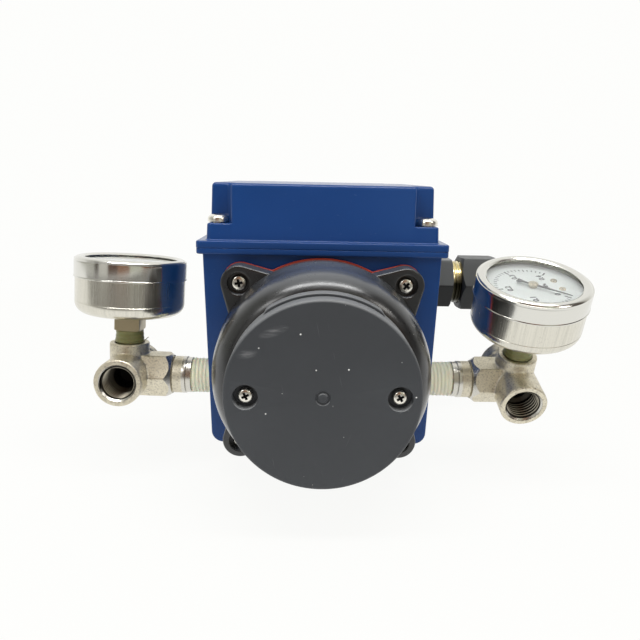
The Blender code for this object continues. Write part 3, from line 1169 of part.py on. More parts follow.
def make_pivot_pin(name, place, low, high):
    foot = POST_HEIGHT - PIN_SEAT_DEPTH + GAP
    profile = [(0, foot), (PIVOT_PIN_RADIUS, foot), (PIVOT_PIN_RADIUS, POST_HEIGHT + GAP),
               (POST_RADIUS - GAP, POST_HEIGHT + GAP), (POST_RADIUS - GAP, low - GAP),
               (PIVOT_PIN_RADIUS, low - GAP), (PIVOT_PIN_RADIUS, high + GAP), (0, high + GAP)]
    piece(name, turned(profile, TINY), BRIGHT_STEEL, None, (*place, 0))


def make_range_spring():
    """A tension spring from the lever's peg to the beam's peg, a loop at each end."""
    start = Vector((LEVER_HOOK.x, SPRING_LINE_Y, SPRING_HEIGHT))
    end = Vector((BEAM_X, SPRING_LINE_Y, SPRING_HEIGHT))
    loop = 0.9 * MM + GAP + RANGE_WIRE
    per_turn = 8
    length = end.x - start.x - 2 * (loop + 3 * MM)
    path = [start + Vector((loop * math.cos(a), loop * math.sin(a), 0))
            for a in [math.radians(d) for d in range(40, 361, 40)]]
    path.append(start + Vector((loop + 1.5 * MM, 0, 0.6 * MM)))
    for i in range(RANGE_TURNS * per_turn + 1):
        angle = 2 * math.pi * i / per_turn
        x = start.x + loop + 3 * MM + length * i / (RANGE_TURNS * per_turn)
        path.append(Vector((x, start.y + RANGE_COIL_RADIUS * math.sin(angle),
                            start.z + RANGE_COIL_RADIUS * math.cos(angle))))
    path.append(end + Vector((-loop - 1.5 * MM, 0, 0.6 * MM)))
    path += [end + Vector((loop * math.cos(a), loop * math.sin(a), 0))
             for a in [math.radians(d) for d in range(180, 501, 40)]]
    piece("range_spring", swept(path, RANGE_WIRE, 4), BRIGHT_STEEL)


def make_beam():
    front, half = SPRING_LINE_Y - 2 * MM, BEAM_WIDTH / 2
    bar = box((BEAM_X - half, front, BEAM_LOW), (BEAM_X + half, BEAM_TIP_Y, BEAM_HIGH))
    beam = piece("balance_beam", bar, SOFT_IRON)
    boss = shifted(cylinder(POST_RADIUS, BEAM_LOW + 0.05 * MM, BEAM_HIGH - 0.05 * MM, TINY),
                   BEAM_X, BEAM_PIVOT_Y)
    add(beam, boss, "pivot_boss")
    add(beam, hook_pin(0.9 * MM, BEAM_LOW + 1 * MM, HOOK_TOP, BEAM_X, SPRING_LINE_Y), "spring_peg")
    cut(beam, shifted(cylinder(PIVOT_PIN_RADIUS + GAP, BEAM_LOW - SHELF_OVERLAP,
                               BEAM_HIGH + SHELF_OVERLAP, TINY), BEAM_X, BEAM_PIVOT_Y), "pivot_hole")
    make_pivot_pin("beam_pivot_pin", Vector((BEAM_X, BEAM_PIVOT_Y)), BEAM_LOW, BEAM_HIGH)


def make_torque_motor():
    low, high = FLOOR + GAP, BEAM_MIDDLE - COIL_RADIUS - GAP
    rear = BEAM_TIP_Y + 1 * MM
    yoke = piece("torque_motor_yoke", box((BEAM_X - YOKE_HALF_WIDTH, YOKE_FRONT, low),
                                          (BEAM_X + YOKE_HALF_WIDTH, YOKE_ARM_AT + 1 * MM, high)),
                 SOFT_IRON)
    arms = [box((BEAM_X + side * POLE_GAP if side > 0 else BEAM_X - YOKE_HALF_WIDTH,
                 YOKE_ARM_AT, low + 8 * MM),
                (BEAM_X + YOKE_HALF_WIDTH if side > 0 else BEAM_X - POLE_GAP,
                 rear, BEAM_HIGH + 3 * MM)) for side in (-1, 1)]
    add(yoke, combined(*arms), "pole_arms")
    add(yoke, box((BEAM_X - YOKE_HALF_WIDTH + 0.5 * MM, YOKE_ARM_AT + 0.3 * MM, low + 9 * MM),
                  (BEAM_X + YOKE_HALF_WIDTH - 0.5 * MM, rear - 0.5 * MM, BEAM_LOW - 3 * MM)),
        "bridge")
    coil_front = YOKE_FRONT + 1 * MM
    coil_rear = YOKE_ARM_AT - GAP
    flange = COIL_RADIUS
    bore = COIL_BORE
    profile = [(bore, coil_front), (flange, coil_front), (flange, coil_front + 1 * MM),
               (flange - 1 * MM, coil_front + 1 * MM), (flange - 1 * MM, coil_rear - 1 * MM),
               (flange, coil_rear - 1 * MM), (flange, coil_rear), (bore, coil_rear)]
    coil = moved(turned([(r, -z) for r, z in profile], SMALL, True), FACING)
    piece("torque_motor_coil", shifted(coil, BEAM_X, 0, BEAM_MIDDLE), COPPER_WINDING)


def make_nozzle():
    """The nozzle stands off the side wall and faces the beam's flank."""
    tip = BEAM_X + BEAM_WIDTH / 2 + NOZZLE_GAP
    wall = CAVITY_HALF_WIDTH - GAP
    profile = [(0, tip), (0.8 * MM, tip), (2.5 * MM, tip + 3 * MM), (2.5 * MM, wall - 3 * MM),
               (4 * MM, wall - 3 * MM), (4 * MM, wall), (0, wall)]
    piece("nozzle", shifted(moved(turned(profile, TINY), TO_RIGHT), y=NOZZLE_Y, z=BEAM_MIDDLE), BRASS)


# Knobs and terminals

def knob_shape():
    grip = [KNOB_RADIUS * (1 - 0.1 * (i % 2)) for i in range(SMALL)]
    outline = [(r * math.cos(2 * math.pi * i / SMALL), r * math.sin(2 * math.pi * i / SMALL))
               for i, r in enumerate(grip)]
    return prism(outline, FLANGE_HIGH + GAP, FLANGE_HIGH + GAP + KNOB_HEIGHT)


def make_knobs():
    for name, x in (("zero_knob", -KNOB_X), ("span_knob", KNOB_X)):
        knob = piece(name, knob_shape(), BLACK_PLASTIC, None, (x, KNOB_Y, 0))
        add(knob, cylinder(SPINDLE_RADIUS, FLANGE_HIGH - SPINDLE_DEPTH, FLANGE_HIGH + 3 * MM, TINY),
            "spindle")
    piece("auto_manual_screw", slotted(SELECTOR_RADIUS, FLANGE_HIGH - SELECTOR_DEPTH,
                                       FLANGE_HIGH + 1 * MM, SLOT_WIDTH, 1.2 * MM), BRASS, None,
          (SELECTOR_X, KNOB_Y, 0))
    piece("earth_screw", shifted(pan_head(COVER_SCREW_HEAD, COVER_SCREW_HEAD_HEIGHT,
                                          COVER_SCREW_RADIUS, COVER_SCREW_REACH - GAP),
                                 z=FLANGE_HIGH + GAP), BRASS, None, (EARTH_X, EARTH_Y, 0))


def make_terminals():
    rear = CAVITY_REAR - GAP
    low = (TERMINAL_X - TERMINAL_LENGTH / 2, rear - TERMINAL_DEPTH, TERMINAL_LOW)
    block = piece("terminal_block", box(low, (TERMINAL_X + TERMINAL_LENGTH / 2, rear,
                                              TERMINAL_HIGH)), GREY_PLASTIC)
    middle = rear - TERMINAL_DEPTH / 2
    wells, screws = [], []
    for k in (-1, 0, 1):
        x = TERMINAL_X + k * TERMINAL_PITCH
        wells.append(shifted(cylinder(3 * MM, TERMINAL_HIGH - 6 * MM, TERMINAL_HIGH + SHELF_OVERLAP,
                                      TINY), x, middle))
        screws.append(shifted(slotted(2.6 * MM, TERMINAL_HIGH - 8 * MM, TERMINAL_HIGH - 2 * MM,
                                      0.8 * MM, 0.9 * MM, 12), x, middle))
    cut(block, combined(*wells), "screw_wells")
    add(block, combined(*screws), "clamp_screws")


def main():
    clear_scene()
    make_housing()
    make_cover()
    pilot = frame_empty("pilot_axis", (0, BODY_FRONT, PILOT_HEIGHT), FACING)
    make_pilot_housing(pilot)
    make_pilot_cap(pilot)
    make_pilot_works(pilot)
    make_side("left", -1, LEFT_TEE_STANDOFF, LEFT_TEE_LEAN, LEFT_TEE_TILT, LEFT_GAUGE_TILT)
    make_side("right", 1, RIGHT_TEE_STANDOFF, RIGHT_TEE_LEAN, 0.0, 0.0)
    make_gland()
    make_shaft()
    make_cam()
    make_follower()
    make_range_spring()
    make_beam()
    make_torque_motor()
    make_nozzle()
    make_knobs()
    make_terminals()


main()
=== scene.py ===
"""Looks of the valve positioner: castings, moulded pilot valve, gauges, tees and gland."""

import math
import random

import bmesh
import bpy
from mathutils import Matrix, Vector, noise


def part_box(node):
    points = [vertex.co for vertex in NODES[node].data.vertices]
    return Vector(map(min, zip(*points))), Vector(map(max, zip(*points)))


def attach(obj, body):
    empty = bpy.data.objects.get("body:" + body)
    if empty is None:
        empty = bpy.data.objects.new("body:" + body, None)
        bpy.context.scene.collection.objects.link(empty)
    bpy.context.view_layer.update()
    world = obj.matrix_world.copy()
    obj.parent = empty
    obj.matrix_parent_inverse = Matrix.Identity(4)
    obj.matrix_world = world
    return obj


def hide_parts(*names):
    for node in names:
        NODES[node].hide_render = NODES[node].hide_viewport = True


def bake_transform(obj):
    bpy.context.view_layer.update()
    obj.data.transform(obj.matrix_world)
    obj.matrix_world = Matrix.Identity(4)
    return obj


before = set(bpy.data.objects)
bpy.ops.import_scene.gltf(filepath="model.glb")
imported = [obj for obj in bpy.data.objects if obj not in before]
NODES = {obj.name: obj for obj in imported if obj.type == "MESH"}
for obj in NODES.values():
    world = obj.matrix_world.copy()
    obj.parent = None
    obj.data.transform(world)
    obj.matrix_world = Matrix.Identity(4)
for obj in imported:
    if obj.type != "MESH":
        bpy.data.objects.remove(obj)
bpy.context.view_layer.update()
MM = 0.001
GAP = 0.3 * MM


# Places and angles

def mm(*points):
    """Points or profile rows given in millimetres."""
    return [tuple(value * MM for value in point) for point in points]


def unit(degrees):
    """The cosine and sine of an angle in degrees."""
    return math.cos(math.radians(degrees)), math.sin(math.radians(degrees))


def spin(degrees, axis="Z"):
    return Matrix.Rotation(math.radians(degrees), 4, axis)


def at(x=0.0, y=0.0, z=0.0):
    return Matrix.Translation((x, y, z))


# Housing and cover
BODY_FRONT = -48.0 * MM
BODY_REAR = 48.0 * MM
BODY_HALF_LOW = 40.7 * MM
BODY_HALF_HIGH = 42.8 * MM
FLANGE_LOW = 72.1 * MM
FLANGE_HIGH = 74.2 * MM
FLANGE_HALF = 44.85 * MM
FLANGE_REACH = 2.43 * MM
FLANGE_CORNER = 2.2 * MM
COVER_LOW = FLANGE_HIGH + 0.06 * MM
COVER_BAND_HIGH = 76.8 * MM
COVER_HALF_LOW = 41.45 * MM
COVER_HIGH = 96.76 * MM
COVER_EDGE = 1.5 * MM
COVER_DRAFT = 0.75 * MM
POCKET_HALF_X = 32.6 * MM
POCKET_Y = BODY_REAR - 11.0 * MM
POCKET_FLOOR = 82.75 * MM
COVER_SCREW = (37.6 * MM, 42.5 * MM)
MOUNT_HOLE = (30.93 * MM, 34 * MM)
POSTS = mm((-24.02, 29.98), (17, 5))
FLOOR_MIDDLE = 2.5 * MM

# Pilot valve, along its own Z out of the body's face
PILOT_HEIGHT = 34.0 * MM
EAR_PLANE = 9.72 * MM
EAR_PITCH = 29.06 * MM
EAR_RADIUS = 6.26 * MM
WEB_ANGLE = 30.0
GASKET = (0.3 * MM, 1.5 * MM)
PILOT_BACK = 1.8 * MM
GASKET_DISC = 37.1 * MM
DOME_ROOT = 36.8 * MM
DOME_RADIUS = 37.3 * MM
DOME_WIDEST_AT = 10.0 * MM
SHOULDER_RADIUS = 36.8 * MM
SHOULDER_AT = 21.0 * MM
DOME_FRONT = 33.0 * MM
DOME_FRONT_RADIUS = 28.8 * MM
CAP_RADIUS = 30.65 * MM
CAP_FRONT = 42.7 * MM
CAP_SCREW_PITCH = 23.66 * MM
SCREW_HOLE = 1.8 * MM
SCREW_REACH = 7 * MM
BORE_RADIUS = 3.85 * MM
BORE_DEPTH = 3.2 * MM

# Tees and gauges
PORT = (-33.0 * MM, 21.7 * MM)
PITCH = 1.337 * MM
BARREL_RADIUS = 8.9 * MM
BARREL_FRONT = 17.1 * MM
BARREL_BACK = 15.0 * MM
BAND_RADIUS = 9.8 * MM
BAND_END = -9.0 * MM
HEX_FLATS = 16.0 * MM
HEX_END = 16.1 * MM
BOSS_RADIUS = 7.55 * MM
BOSS_HIGH = 12.5 * MM
NIPPLE_END = 37.6 * MM
STEM_SQUARE = (17.4 * MM, 23.5 * MM)
CASE_LOW = 23.9 * MM
CASE_RADIUS = 20.4 * MM
BEZEL_RADIUS = 21.0 * MM
DIAL_FACE = 41.4 * MM
BEZEL_HIGH = 45.6 * MM
POINTER_ZERO = -35.0
DIAL_TURN = 270

# Gland
GLAND = (24.5 * MM, 51.6 * MM)
CONDUIT_END = 52.0 * MM
ADAPTOR_END = 62.3 * MM
NUT_START = 66.5 * MM
NUT_END = 83.5 * MM

# The camera that the photograph was fitted with
CAMERA_PLACE = Vector((-5.231, -267.165, 99.561)) * MM
CAMERA_YAW, CAMERA_PITCH, CAMERA_ROLL = 1.234, 13.116, 1.215
LENS = 34.68
FLOOR = -15.3 * MM

FACING = spin(90, "X")
TO_RIGHT = spin(90, "Y")
TO_LEFT = spin(-90, "Y")
PILOT = at(0, BODY_FRONT, PILOT_HEIGHT) @ FACING
GLAND_AXIS = at(0, *GLAND) @ TO_RIGHT


# Outlines

def arc(centre, radius, start, end, steps):
    turns = [unit(start + (end - start) * i / steps) for i in range(steps + 1)]
    return [(centre[0] + radius * c, centre[1] + radius * s) for c, s in turns]


def each_corner(x, y):
    return [(-x, -y), (x, -y), (x, y), (-x, y)]


def rounded(corners, radii, steps=6, inset=0.0):
    """A closed outline, counterclockwise, moved in by inset, with a radius at each corner."""
    points = []
    for i, corner in enumerate(map(Vector, corners)):
        arriving = (corner - Vector(corners[i - 1])).normalized()
        leaving = (Vector(corners[(i + 1) % len(corners)]) - corner).normalized()
        left_a = Vector((-arriving.y, arriving.x))
        left_b = Vector((-leaving.y, leaving.x))
        convex = arriving.x * leaving.y - arriving.y * leaving.x > 0
        bisector = (left_a + left_b) / (1 + left_a.dot(left_b))
        place = corner + bisector * inset
        radius = max(radii[i] - inset if convex else radii[i] + inset, 0.02 * MM)
        half = math.acos(max(-1, min(1, -arriving.dot(leaving)))) / 2
        centre = place + (leaving - arriving).normalized() * radius / math.sin(half)
        first = place + -arriving * radius / math.tan(half) - centre
        last = place + leaving * radius / math.tan(half) - centre
        turn = math.atan2(first.x * last.y - first.y * last.x, first.dot(last))
        for k in range(steps + 1):
            c, s = math.cos(turn * k / steps), math.sin(turn * k / steps)
            points.append((centre.x + c * first.x - s * first.y, centre.y + s * first.x + c * first.y))
    return points


def rectangle(half_x, half_y, radius, steps=6, inset=0.0):
    return rounded(each_corner(half_x, half_y), [radius] * 4, steps, inset)


def eased(low, high, radius, steps=5, top=True, bottom=True):
    """(height, inset) rows for walls whose edges are rounded over."""
    rows = [(radius * (1 - math.sin(a)), radius * (1 - math.cos(a)))
            for a in (math.radians(90 * k / steps) for k in range(steps + 1))]
    under = [(low + h, i) for h, i in reversed(rows)] if bottom else [(low, 0.0)]
    return under + ([(high - h, i) for h, i in rows] if top else [(high, 0.0)])


# Shapes

def at_height(outline, z):
    return [Vector((x, y, z)) for x, y in outline]


def skin(shape, rows, looped=False):
    """Quads between neighbouring rows of vertices, each row a ring."""
    for low, high in zip(rows, rows[1:] + (rows[:1] if looped else [])):
        for i in range(len(low)):
            j = (i + 1) % len(low)
            shape.faces.new((low[i], low[j], high[j], high[i]))


def lofted(rings, looped=False):
    """Rings of points skinned in order, with both ends closed or else joined to each other."""
    shape = bmesh.new()
    rows = [[shape.verts.new(point) for point in ring] for ring in rings]
    skin(shape, rows, looped)
    if not looped:
        shape.faces.new(list(reversed(rows[0])))
        shape.faces.new(rows[-1])
    return shape


def turned(profile, segments=96, closed=False):
    """A profile of (radius, height) turned about Z."""
    shape = bmesh.new()
    rows = []
    for radius, height in profile:
        if radius == 0:
            rows.append([shape.verts.new((0, 0, height))] * segments)
        else:
            rows.append([shape.verts.new((x, y, height))
                         for x, y in arc((0, 0), radius, 0, 360, segments)[:-1]])
    for low, high in list(zip(rows, rows[1:])) + ([(rows[-1], rows[0])] if closed else []):
        for i in range(segments):
            j = (i + 1) % segments
            corners = list(dict.fromkeys((low[i], low[j], high[j], high[i])))
            if len(corners) > 2:
                shape.faces.new(corners)
    return shape


def cylinder(radius, low, high, segments=48):
    return turned([(0, low), (radius, low), (radius, high), (0, high)], segments)


def tube(inner, outer, low, high, segments=64):
    return turned([(inner, low), (outer, low), (outer, high), (inner, high)], segments, True)


def swept(path, radius, sides=8):
    rings = []
    normal = None
    for i, point in enumerate(path):
        ahead = (path[min(i + 1, len(path) - 1)] - path[max(i - 1, 0)]).normalized()
        if normal is None:
            normal = ahead.orthogonal().normalized()
        normal = (normal - ahead * normal.dot(ahead)).normalized()
        side = ahead.cross(normal)
        rings.append([point + normal * (radius * math.cos(2 * math.pi * k / sides))
                      + side * (radius * math.sin(2 * math.pi * k / sides)) for k in range(sides)])
    return lofted(rings)


def helix_ridge(crest, base, low, high, per_turn):
    """A screw thread's ridge, a bar wound from low to high that fades at both ends."""
    rings = []
    half_base, half_crest, faded = 0.38, 0.06, 0.3 * per_turn
    steps = int((high - low) / PITCH * per_turn)
    for i in range(steps + 1):
        angle = 2 * math.pi * i / per_turn
        z = low + PITCH * i / per_turn
        tip = base + (crest - base) * min(1.0, i / faded, (steps - i) / faded + 0.001)
        rings.append([Vector((r * math.cos(angle), r * math.sin(angle), z + dz * PITCH))
                      for r, dz in ((base, -half_base), (tip, -half_crest), (tip, half_crest),
                                    (base, half_base))])
    return lofted(rings)


def placed(shape, matrix):
    shape.transform(matrix)
    return shape


def shifted(shape, x=0.0, y=0.0, z=0.0):
    return placed(shape, at(x, y, z))


def joined(*shapes):
    whole = bmesh.new()
    for shape in shapes:
        held = bpy.data.meshes.new("held")
        shape.to_mesh(held)
        shape.free()
        whole.from_mesh(held)
        bpy.data.meshes.remove(held)
    return whole


# Objects

def mesh_object(name, shape):
    bmesh.ops.remove_doubles(shape, verts=shape.verts, dist=0.0005 * MM)
    bmesh.ops.recalc_face_normals(shape, faces=shape.faces)
    mesh = bpy.data.meshes.new(name)
    shape.to_mesh(mesh)
    shape.free()
    obj = bpy.data.objects.new(name, mesh)
    bpy.context.scene.collection.objects.link(obj)
    return obj


def settled(obj):
    """Applies the object's modifiers to its mesh."""
    depsgraph = bpy.context.evaluated_depsgraph_get()
    depsgraph.update()
    mesh = bpy.data.meshes.new_from_object(obj.evaluated_get(depsgraph))
    obj.modifiers.clear()
    old = obj.data
    obj.data = mesh
    bpy.data.meshes.remove(old)


def cut(obj, shape, operation="DIFFERENCE"):
    helper = mesh_object(obj.name + "_helper", shape)
    helper.matrix_world = obj.matrix_world
    modifier = obj.modifiers.new("boolean", "BOOLEAN")
    modifier.operation = operation
    modifier.solver = "MANIFOLD"
    modifier.object = helper
    bpy.context.view_layer.update()
    settled(obj)
    bpy.data.objects.remove(helper, do_unlink=True)


def grow(obj, shape):
    cut(obj, shape, "UNION")


def taken(obj):
    """The object's shape, without the object."""
    shape = bmesh.new()
    shape.from_mesh(obj.data)
    bpy.data.objects.remove(obj, do_unlink=True)
    return shape


def carved(shape, *cutters, operation="DIFFERENCE"):
    held = mesh_object("held", shape)
    for cutter in cutters:
        cut(held, cutter, operation)
    return taken(held)


LOOKS = {}
SLOTS = {look: slot for slot, looks in {
    "blue_paint": "paint", "red_silicone": "red", "black_plastic": "black cap gland_dark gland_nut",
    "black_rubber": "rubber", "bright_steel": "screw steel drawn bezel", "clear_window": "glass",
    "cast_steel": "tee thread cream_tape", "brass": "hub stem olive_tape gland_brass",
    "white_enamel": "dial", "black_paint": "ink needle"}.items() for look in looks.split()}


def finish_piece(obj, look, *replaced, angle=35, body="housing"):
    """Shades the piece, gives it its materials and puts it on its body."""
    obj.data.shade_smooth()
    obj.data.set_sharp_from_angle(angle=math.radians(angle))
    slots, slot = obj.data.materials, SLOTS[look]
    for i, material in enumerate(LOOKS[look]):
        if i < len(slots):
            slots[i] = material
        else:
            slots.append(material)
    if body:
        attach(obj, body)
    if replaced:
        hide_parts(*replaced)
    return obj


def piece(name, shape, matrix, look, *replaced, **options):
    obj = mesh_object(name, shape)
    obj.matrix_world = matrix
    return finish_piece(obj, look, *replaced, **options)


# Camera, light and floor

def make_camera():
    (yaw_c, yaw_s), (pitch_c, pitch_s), (roll_c, roll_s) = map(
        unit, (CAMERA_YAW, CAMERA_PITCH, CAMERA_ROLL))
    ahead = Vector((yaw_s * pitch_c, yaw_c * pitch_c, -pitch_s))
    right = Vector((yaw_c, -yaw_s, 0))
    up = right.cross(ahead)
    data = bpy.data.cameras.new("camera")
    data.lens = LENS
    data.sensor_width = 36
    data.clip_start = 0.01
    data.clip_end = 20
    camera = bpy.data.objects.new("camera", data)
    axes = (right * roll_c + up * roll_s, up * roll_c - right * roll_s, -ahead)
    camera.matrix_world = Matrix.Translation(CAMERA_PLACE) @ Matrix(axes).transposed().to_4x4()
    bpy.context.scene.collection.objects.link(camera)
    bpy.context.scene.camera = camera


class Nodes:
    """Short ways to wire the nodes of a material or a world."""

    def __init__(self, tree, place):
        self.tree = tree
        self.place = self.node("TexCoord").outputs[place]

    def node(self, kind, *inputs, **values):
        """A new node with its values set and its inputs filled, each a socket and its value."""
        made = self.tree.nodes.new("ShaderNode" + kind)
        for key, value in values.items():
            setattr(made, key, value)
        for socket, value in inputs:
            self.fill(made.inputs[socket], value)
        return made

    def link(self, source, target):
        self.tree.links.new(source, target)

    def fill(self, socket, value):
        if isinstance(value, (int, float)):
            socket.default_value = value
        elif isinstance(value, tuple):
            socket.default_value = (*value, 1)[:len(socket.default_value)]
        else:
            self.link(value, socket)

    def split(self, place=None):
        return self.node("SeparateXYZ", (0, place or self.place)).outputs[:3]

    def joined(self, x, y, z):
        return self.node("CombineXYZ", (0, x), (1, y), (2, z)).outputs[0]

    def stretched(self, scale, place=None):
        return self.node("Mapping", ("Scale", scale), ("Vector", place or self.place)).outputs[0]

    def noise(self, scale, detail=3.0, roughness=0.5, place=None):
        return self.node("TexNoise", ("Scale", scale), ("Detail", detail), ("Roughness", roughness),
                         ("Vector", place or self.place)).outputs["Fac"]

    def range(self, value, low, high, to_low, to_high):
        return self.node("MapRange", ("From Min", low), ("From Max", high), ("To Min", to_low),
                         ("To Max", to_high), ("Value", value)).outputs["Result"]

    def math(self, operation, a, b=0.0):
        return self.node("Math", (0, a), (1, b), operation=operation).outputs[0]

    def times(self, a, b):
        return self.math("MULTIPLY", a, b)

    def distance(self, a, b):
        return self.math("SQRT", self.math("ADD", self.times(a, a), self.times(b, b)))

    def blended(self, factor, first, second):
        return self.node("Mix", ("Factor", factor), ("A", first), ("B", second),
                         data_type="RGBA").outputs["Result"]

    def ramp(self, value, stops):
        made = self.node("ValToRGB", ("Fac", value))
        band = made.color_ramp
        for element, (place, colour) in zip(list(band.elements), (stops[0], stops[-1])):
            element.position, element.color = place, (*colour, 1)
        for place, colour in stops[1:-1]:
            band.elements.new(place).color = (*colour, 1)
        return made.outputs["Color"]

    def rays(self, kind):
        return self.node("LightPath").outputs[f"Is {kind} Ray"]

    def seen(self):
        """1 where the camera, a mirror or a glass looks, and 0 for the light itself."""
        return self.math("MAXIMUM", self.rays("Camera"),
                         self.math("MAXIMUM", self.rays("Glossy"), self.rays("Transmission")))

    def mixed(self, factor, first, second, socket):
        made = self.node("MixShader", ("Fac", factor), (1, first), (2, second))
        self.link(made.outputs[0], socket)


def area_light(name, place, size, radiance, colour=(1, 1, 1)):
    data = bpy.data.lights.new(name, "AREA")
    data.shape = "RECTANGLE"
    data.size, data.size_y = size
    data.energy = radiance * math.pi * size[0] * size[1]
    data.color = colour
    light = bpy.data.objects.new(name, data)
    light.location = place
    aim = (Vector((0, 0, 0.05)) - Vector(place)).to_track_quat("-Z", "Y")
    light.rotation_euler = aim.to_euler()
    bpy.context.scene.collection.objects.link(light)


WHITE, GREY, PALE = (0.985, 0.987, 0.972), (0.47, 0.47, 0.425), (0.62, 0.61, 0.57)
DIM, BROWN, TAN, SAGE = ((0.09, 0.075, 0.065), (0.13, 0.085, 0.065), (0.28, 0.165, 0.11),
                         (0.52, 0.53, 0.44))
# The floor in front of the object, where the room's shade falls
SHADED = (0.26, 0.255, 0.24)
# What stands in the room in front of the object, by the angle to its right in degrees
ROOM = ((-128, WHITE), (-96, GREY), (-64, GREY), (-60, DIM), (-54, DIM), (-50, PALE), (-34, PALE),
        (-30, BROWN), (-14, BROWN), (-10, TAN), (10, TAN), (14, SAGE), (34, SAGE), (40, TAN),
        (52, BROWN), (62, DIM), (88, DIM), (96, PALE), (120, WHITE))
# What lights the object besides the lamps, from straight down to straight up
SKY = [(0.0, (0.6, 0.6, 0.59)), (0.5, (0.3, 0.3, 0.29)), (0.7, (0.45, 0.45, 0.44)),
       (0.85, (0.72, 0.72, 0.71)), (1.0, (0.75, 0.75, 0.74))]


def make_stage():
    scene = bpy.context.scene
    scene.view_settings.view_transform = "Standard"
    area_light("overhead", (0.0, -0.2, 0.75), (0.75, 0.15), 11)
    area_light("front_left", (-0.6, -0.62, 0.66), (0.26, 0.22), 5.5)
    area_light("front_right", (0.66, -0.55, 0.6), (0.26, 0.22), 5.5, (1, 0.985, 0.94))
    world = bpy.data.worlds.new("studio")
    scene.world = world
    world.use_nodes = True
    world.node_tree.nodes.clear()
    sky = Nodes(world.node_tree, "Generated")
    x, y, z = sky.split()
    angle = sky.math("ARCTAN2", x, sky.times(y, -1.0))
    around = sky.range(angle, -math.pi, math.pi, 0.0, 1.0)
    room = sky.ramp(around, [(0.5 + turn / 360, colour) for turn, colour in ROOM])
    low = sky.times(sky.range(z, -0.02, 0.0, 0.0, 1.0), sky.range(z, 0.78, 0.9, 1.0, 0.0))
    shown = sky.node("Background", ("Color", sky.blended(sky.times(low, sky.rays("Glossy")), WHITE, room)))
    light = sky.node("Background", ("Color", sky.ramp(sky.range(z, -1.0, 1.0, 0.0, 1.0), SKY)))
    out = sky.node("OutputWorld")
    sky.mixed(sky.seen(), light.outputs[0], shown.outputs[0], out.inputs["Surface"])
    outline = rectangle(3, 3, 0.1, 3)
    floor = mesh_object("floor", lofted([at_height(outline, FLOOR - 0.01), at_height(outline, FLOOR)]))
    cloth = Look("floor_white", (0.88, 0.88, 0.87), 0.9)
    x, y, z = cloth.split()
    front = cloth.times(cloth.range(y, -0.30, -0.175, 1.0, 0.0), cloth.rays("Glossy"))
    glow = cloth.node("Emission", ("Color", cloth.blended(front, WHITE, SHADED)))
    share = cloth.times(cloth.seen(), cloth.range(cloth.distance(x, y), 0.1, 0.5, 0.94, 1.0))
    cloth.mixed(share, cloth.shader.outputs[0], glow.outputs[0],
                cloth.tree.nodes["Material Output"].inputs["Surface"])
    floor.data.materials.append(cloth.material)


# Materials

class Look(Nodes):
    """A Principled material and short ways to give it colour, gloss and relief."""

    def __init__(self, name, colour, roughness, metallic=0.0, **sockets):
        self.material = bpy.data.materials.new(name)
        self.material.use_nodes = True
        super().__init__(self.material.node_tree, "Object")
        self.shader = self.tree.nodes["Principled BSDF"]
        sockets.update(Base_Color=colour, Roughness=roughness, Metallic=metallic)
        for socket, value in sockets.items():
            self.fill(self.shader.inputs[socket.replace("_", " ")], value)
        self.colour = colour
        self.height = None

    def tint(self, factor, colour):
        """Mixes another colour over the base by factor."""
        socket = self.shader.inputs["Base Color"]
        base = socket.links[0].from_socket if socket.is_linked else self.colour
        self.link(self.blended(factor, base, colour), socket)
        return self

    def mottled(self, noise, band, share, colour):
        """Tints where the noise lies in or above the band, up to share."""
        return self.tint(self.range(self.noise(*noise), *band, 0.0, share), colour)

    def facing_up(self, low, high):
        """0 to 1 as the surface turns from low to high, by the height of its normal."""
        normal = self.node("NewGeometry").outputs["Normal"]
        return self.range(self.split(normal)[2], low, high, 0.0, 1.0)

    def gloss(self, factor, low, high):
        self.link(self.range(factor, 0.3, 0.7, low, high), self.shader.inputs["Roughness"])

    def relief(self, height, depth, strength):
        """Adds a bump of this depth in millimetres."""
        made = self.node("Bump", ("Strength", strength), ("Distance", depth * MM), ("Height", height))
        if self.height is not None:
            self.link(self.height, made.inputs["Normal"])
        self.height = made.outputs[0]
        self.link(self.height, self.shader.inputs["Normal"])
        return self

    def grain(self, noise, depth, strength):
        return self.relief(self.noise(*noise), depth, strength)

    def around(self, turns, along):
        """Coordinates that run round and along the piece's own Z."""
        x, y, z = self.split()
        angle = self.math("ARCTAN2", y, x)
        radius = self.distance(x, y)
        return self.joined(self.times(angle, turns), self.times(z, along), self.times(radius, along))

    def specks(self, scale, size, patches, share, colour, least=0.56):
        """Small round dots of another colour, only in the patches whose noise is above least."""
        cells = self.node("TexVoronoi", ("Scale", scale), ("Vector", self.place)).outputs["Distance"]
        dots = self.range(self.range(cells, 0.0, size, 1.0, 0.0), 0.2, 0.5, 0.0, 1.0)
        where = self.range(self.noise(patches, 1), least, least + 0.04, 0.0, share)
        return self.tint(self.times(dots, where), colour)


def times(colour, share):
    return tuple(share * channel for channel in colour)


def blue_enamel():
    look = Look("blue_enamel", (0.008, 0.047, 0.182), 0.22, Specular_IOR_Level=0.3)
    look.mottled((45, 2), (0.35, 0.7), 0.4, (0.011, 0.055, 0.21))
    look.specks(520, 0.09, 150, 0.35, (0.1, 0.18, 0.36))
    look.mottled((1.0, 2, 0.5, look.stretched((500, 30, 1400))), (0.72, 0.76), 0.12, (0.1, 0.17, 0.33))
    look.gloss(look.noise(500, 3), 0.18, 0.25)
    look.grain((520, 2), 0.03, 0.35)
    return look.grain((2600, 2), 0.006, 0.4)


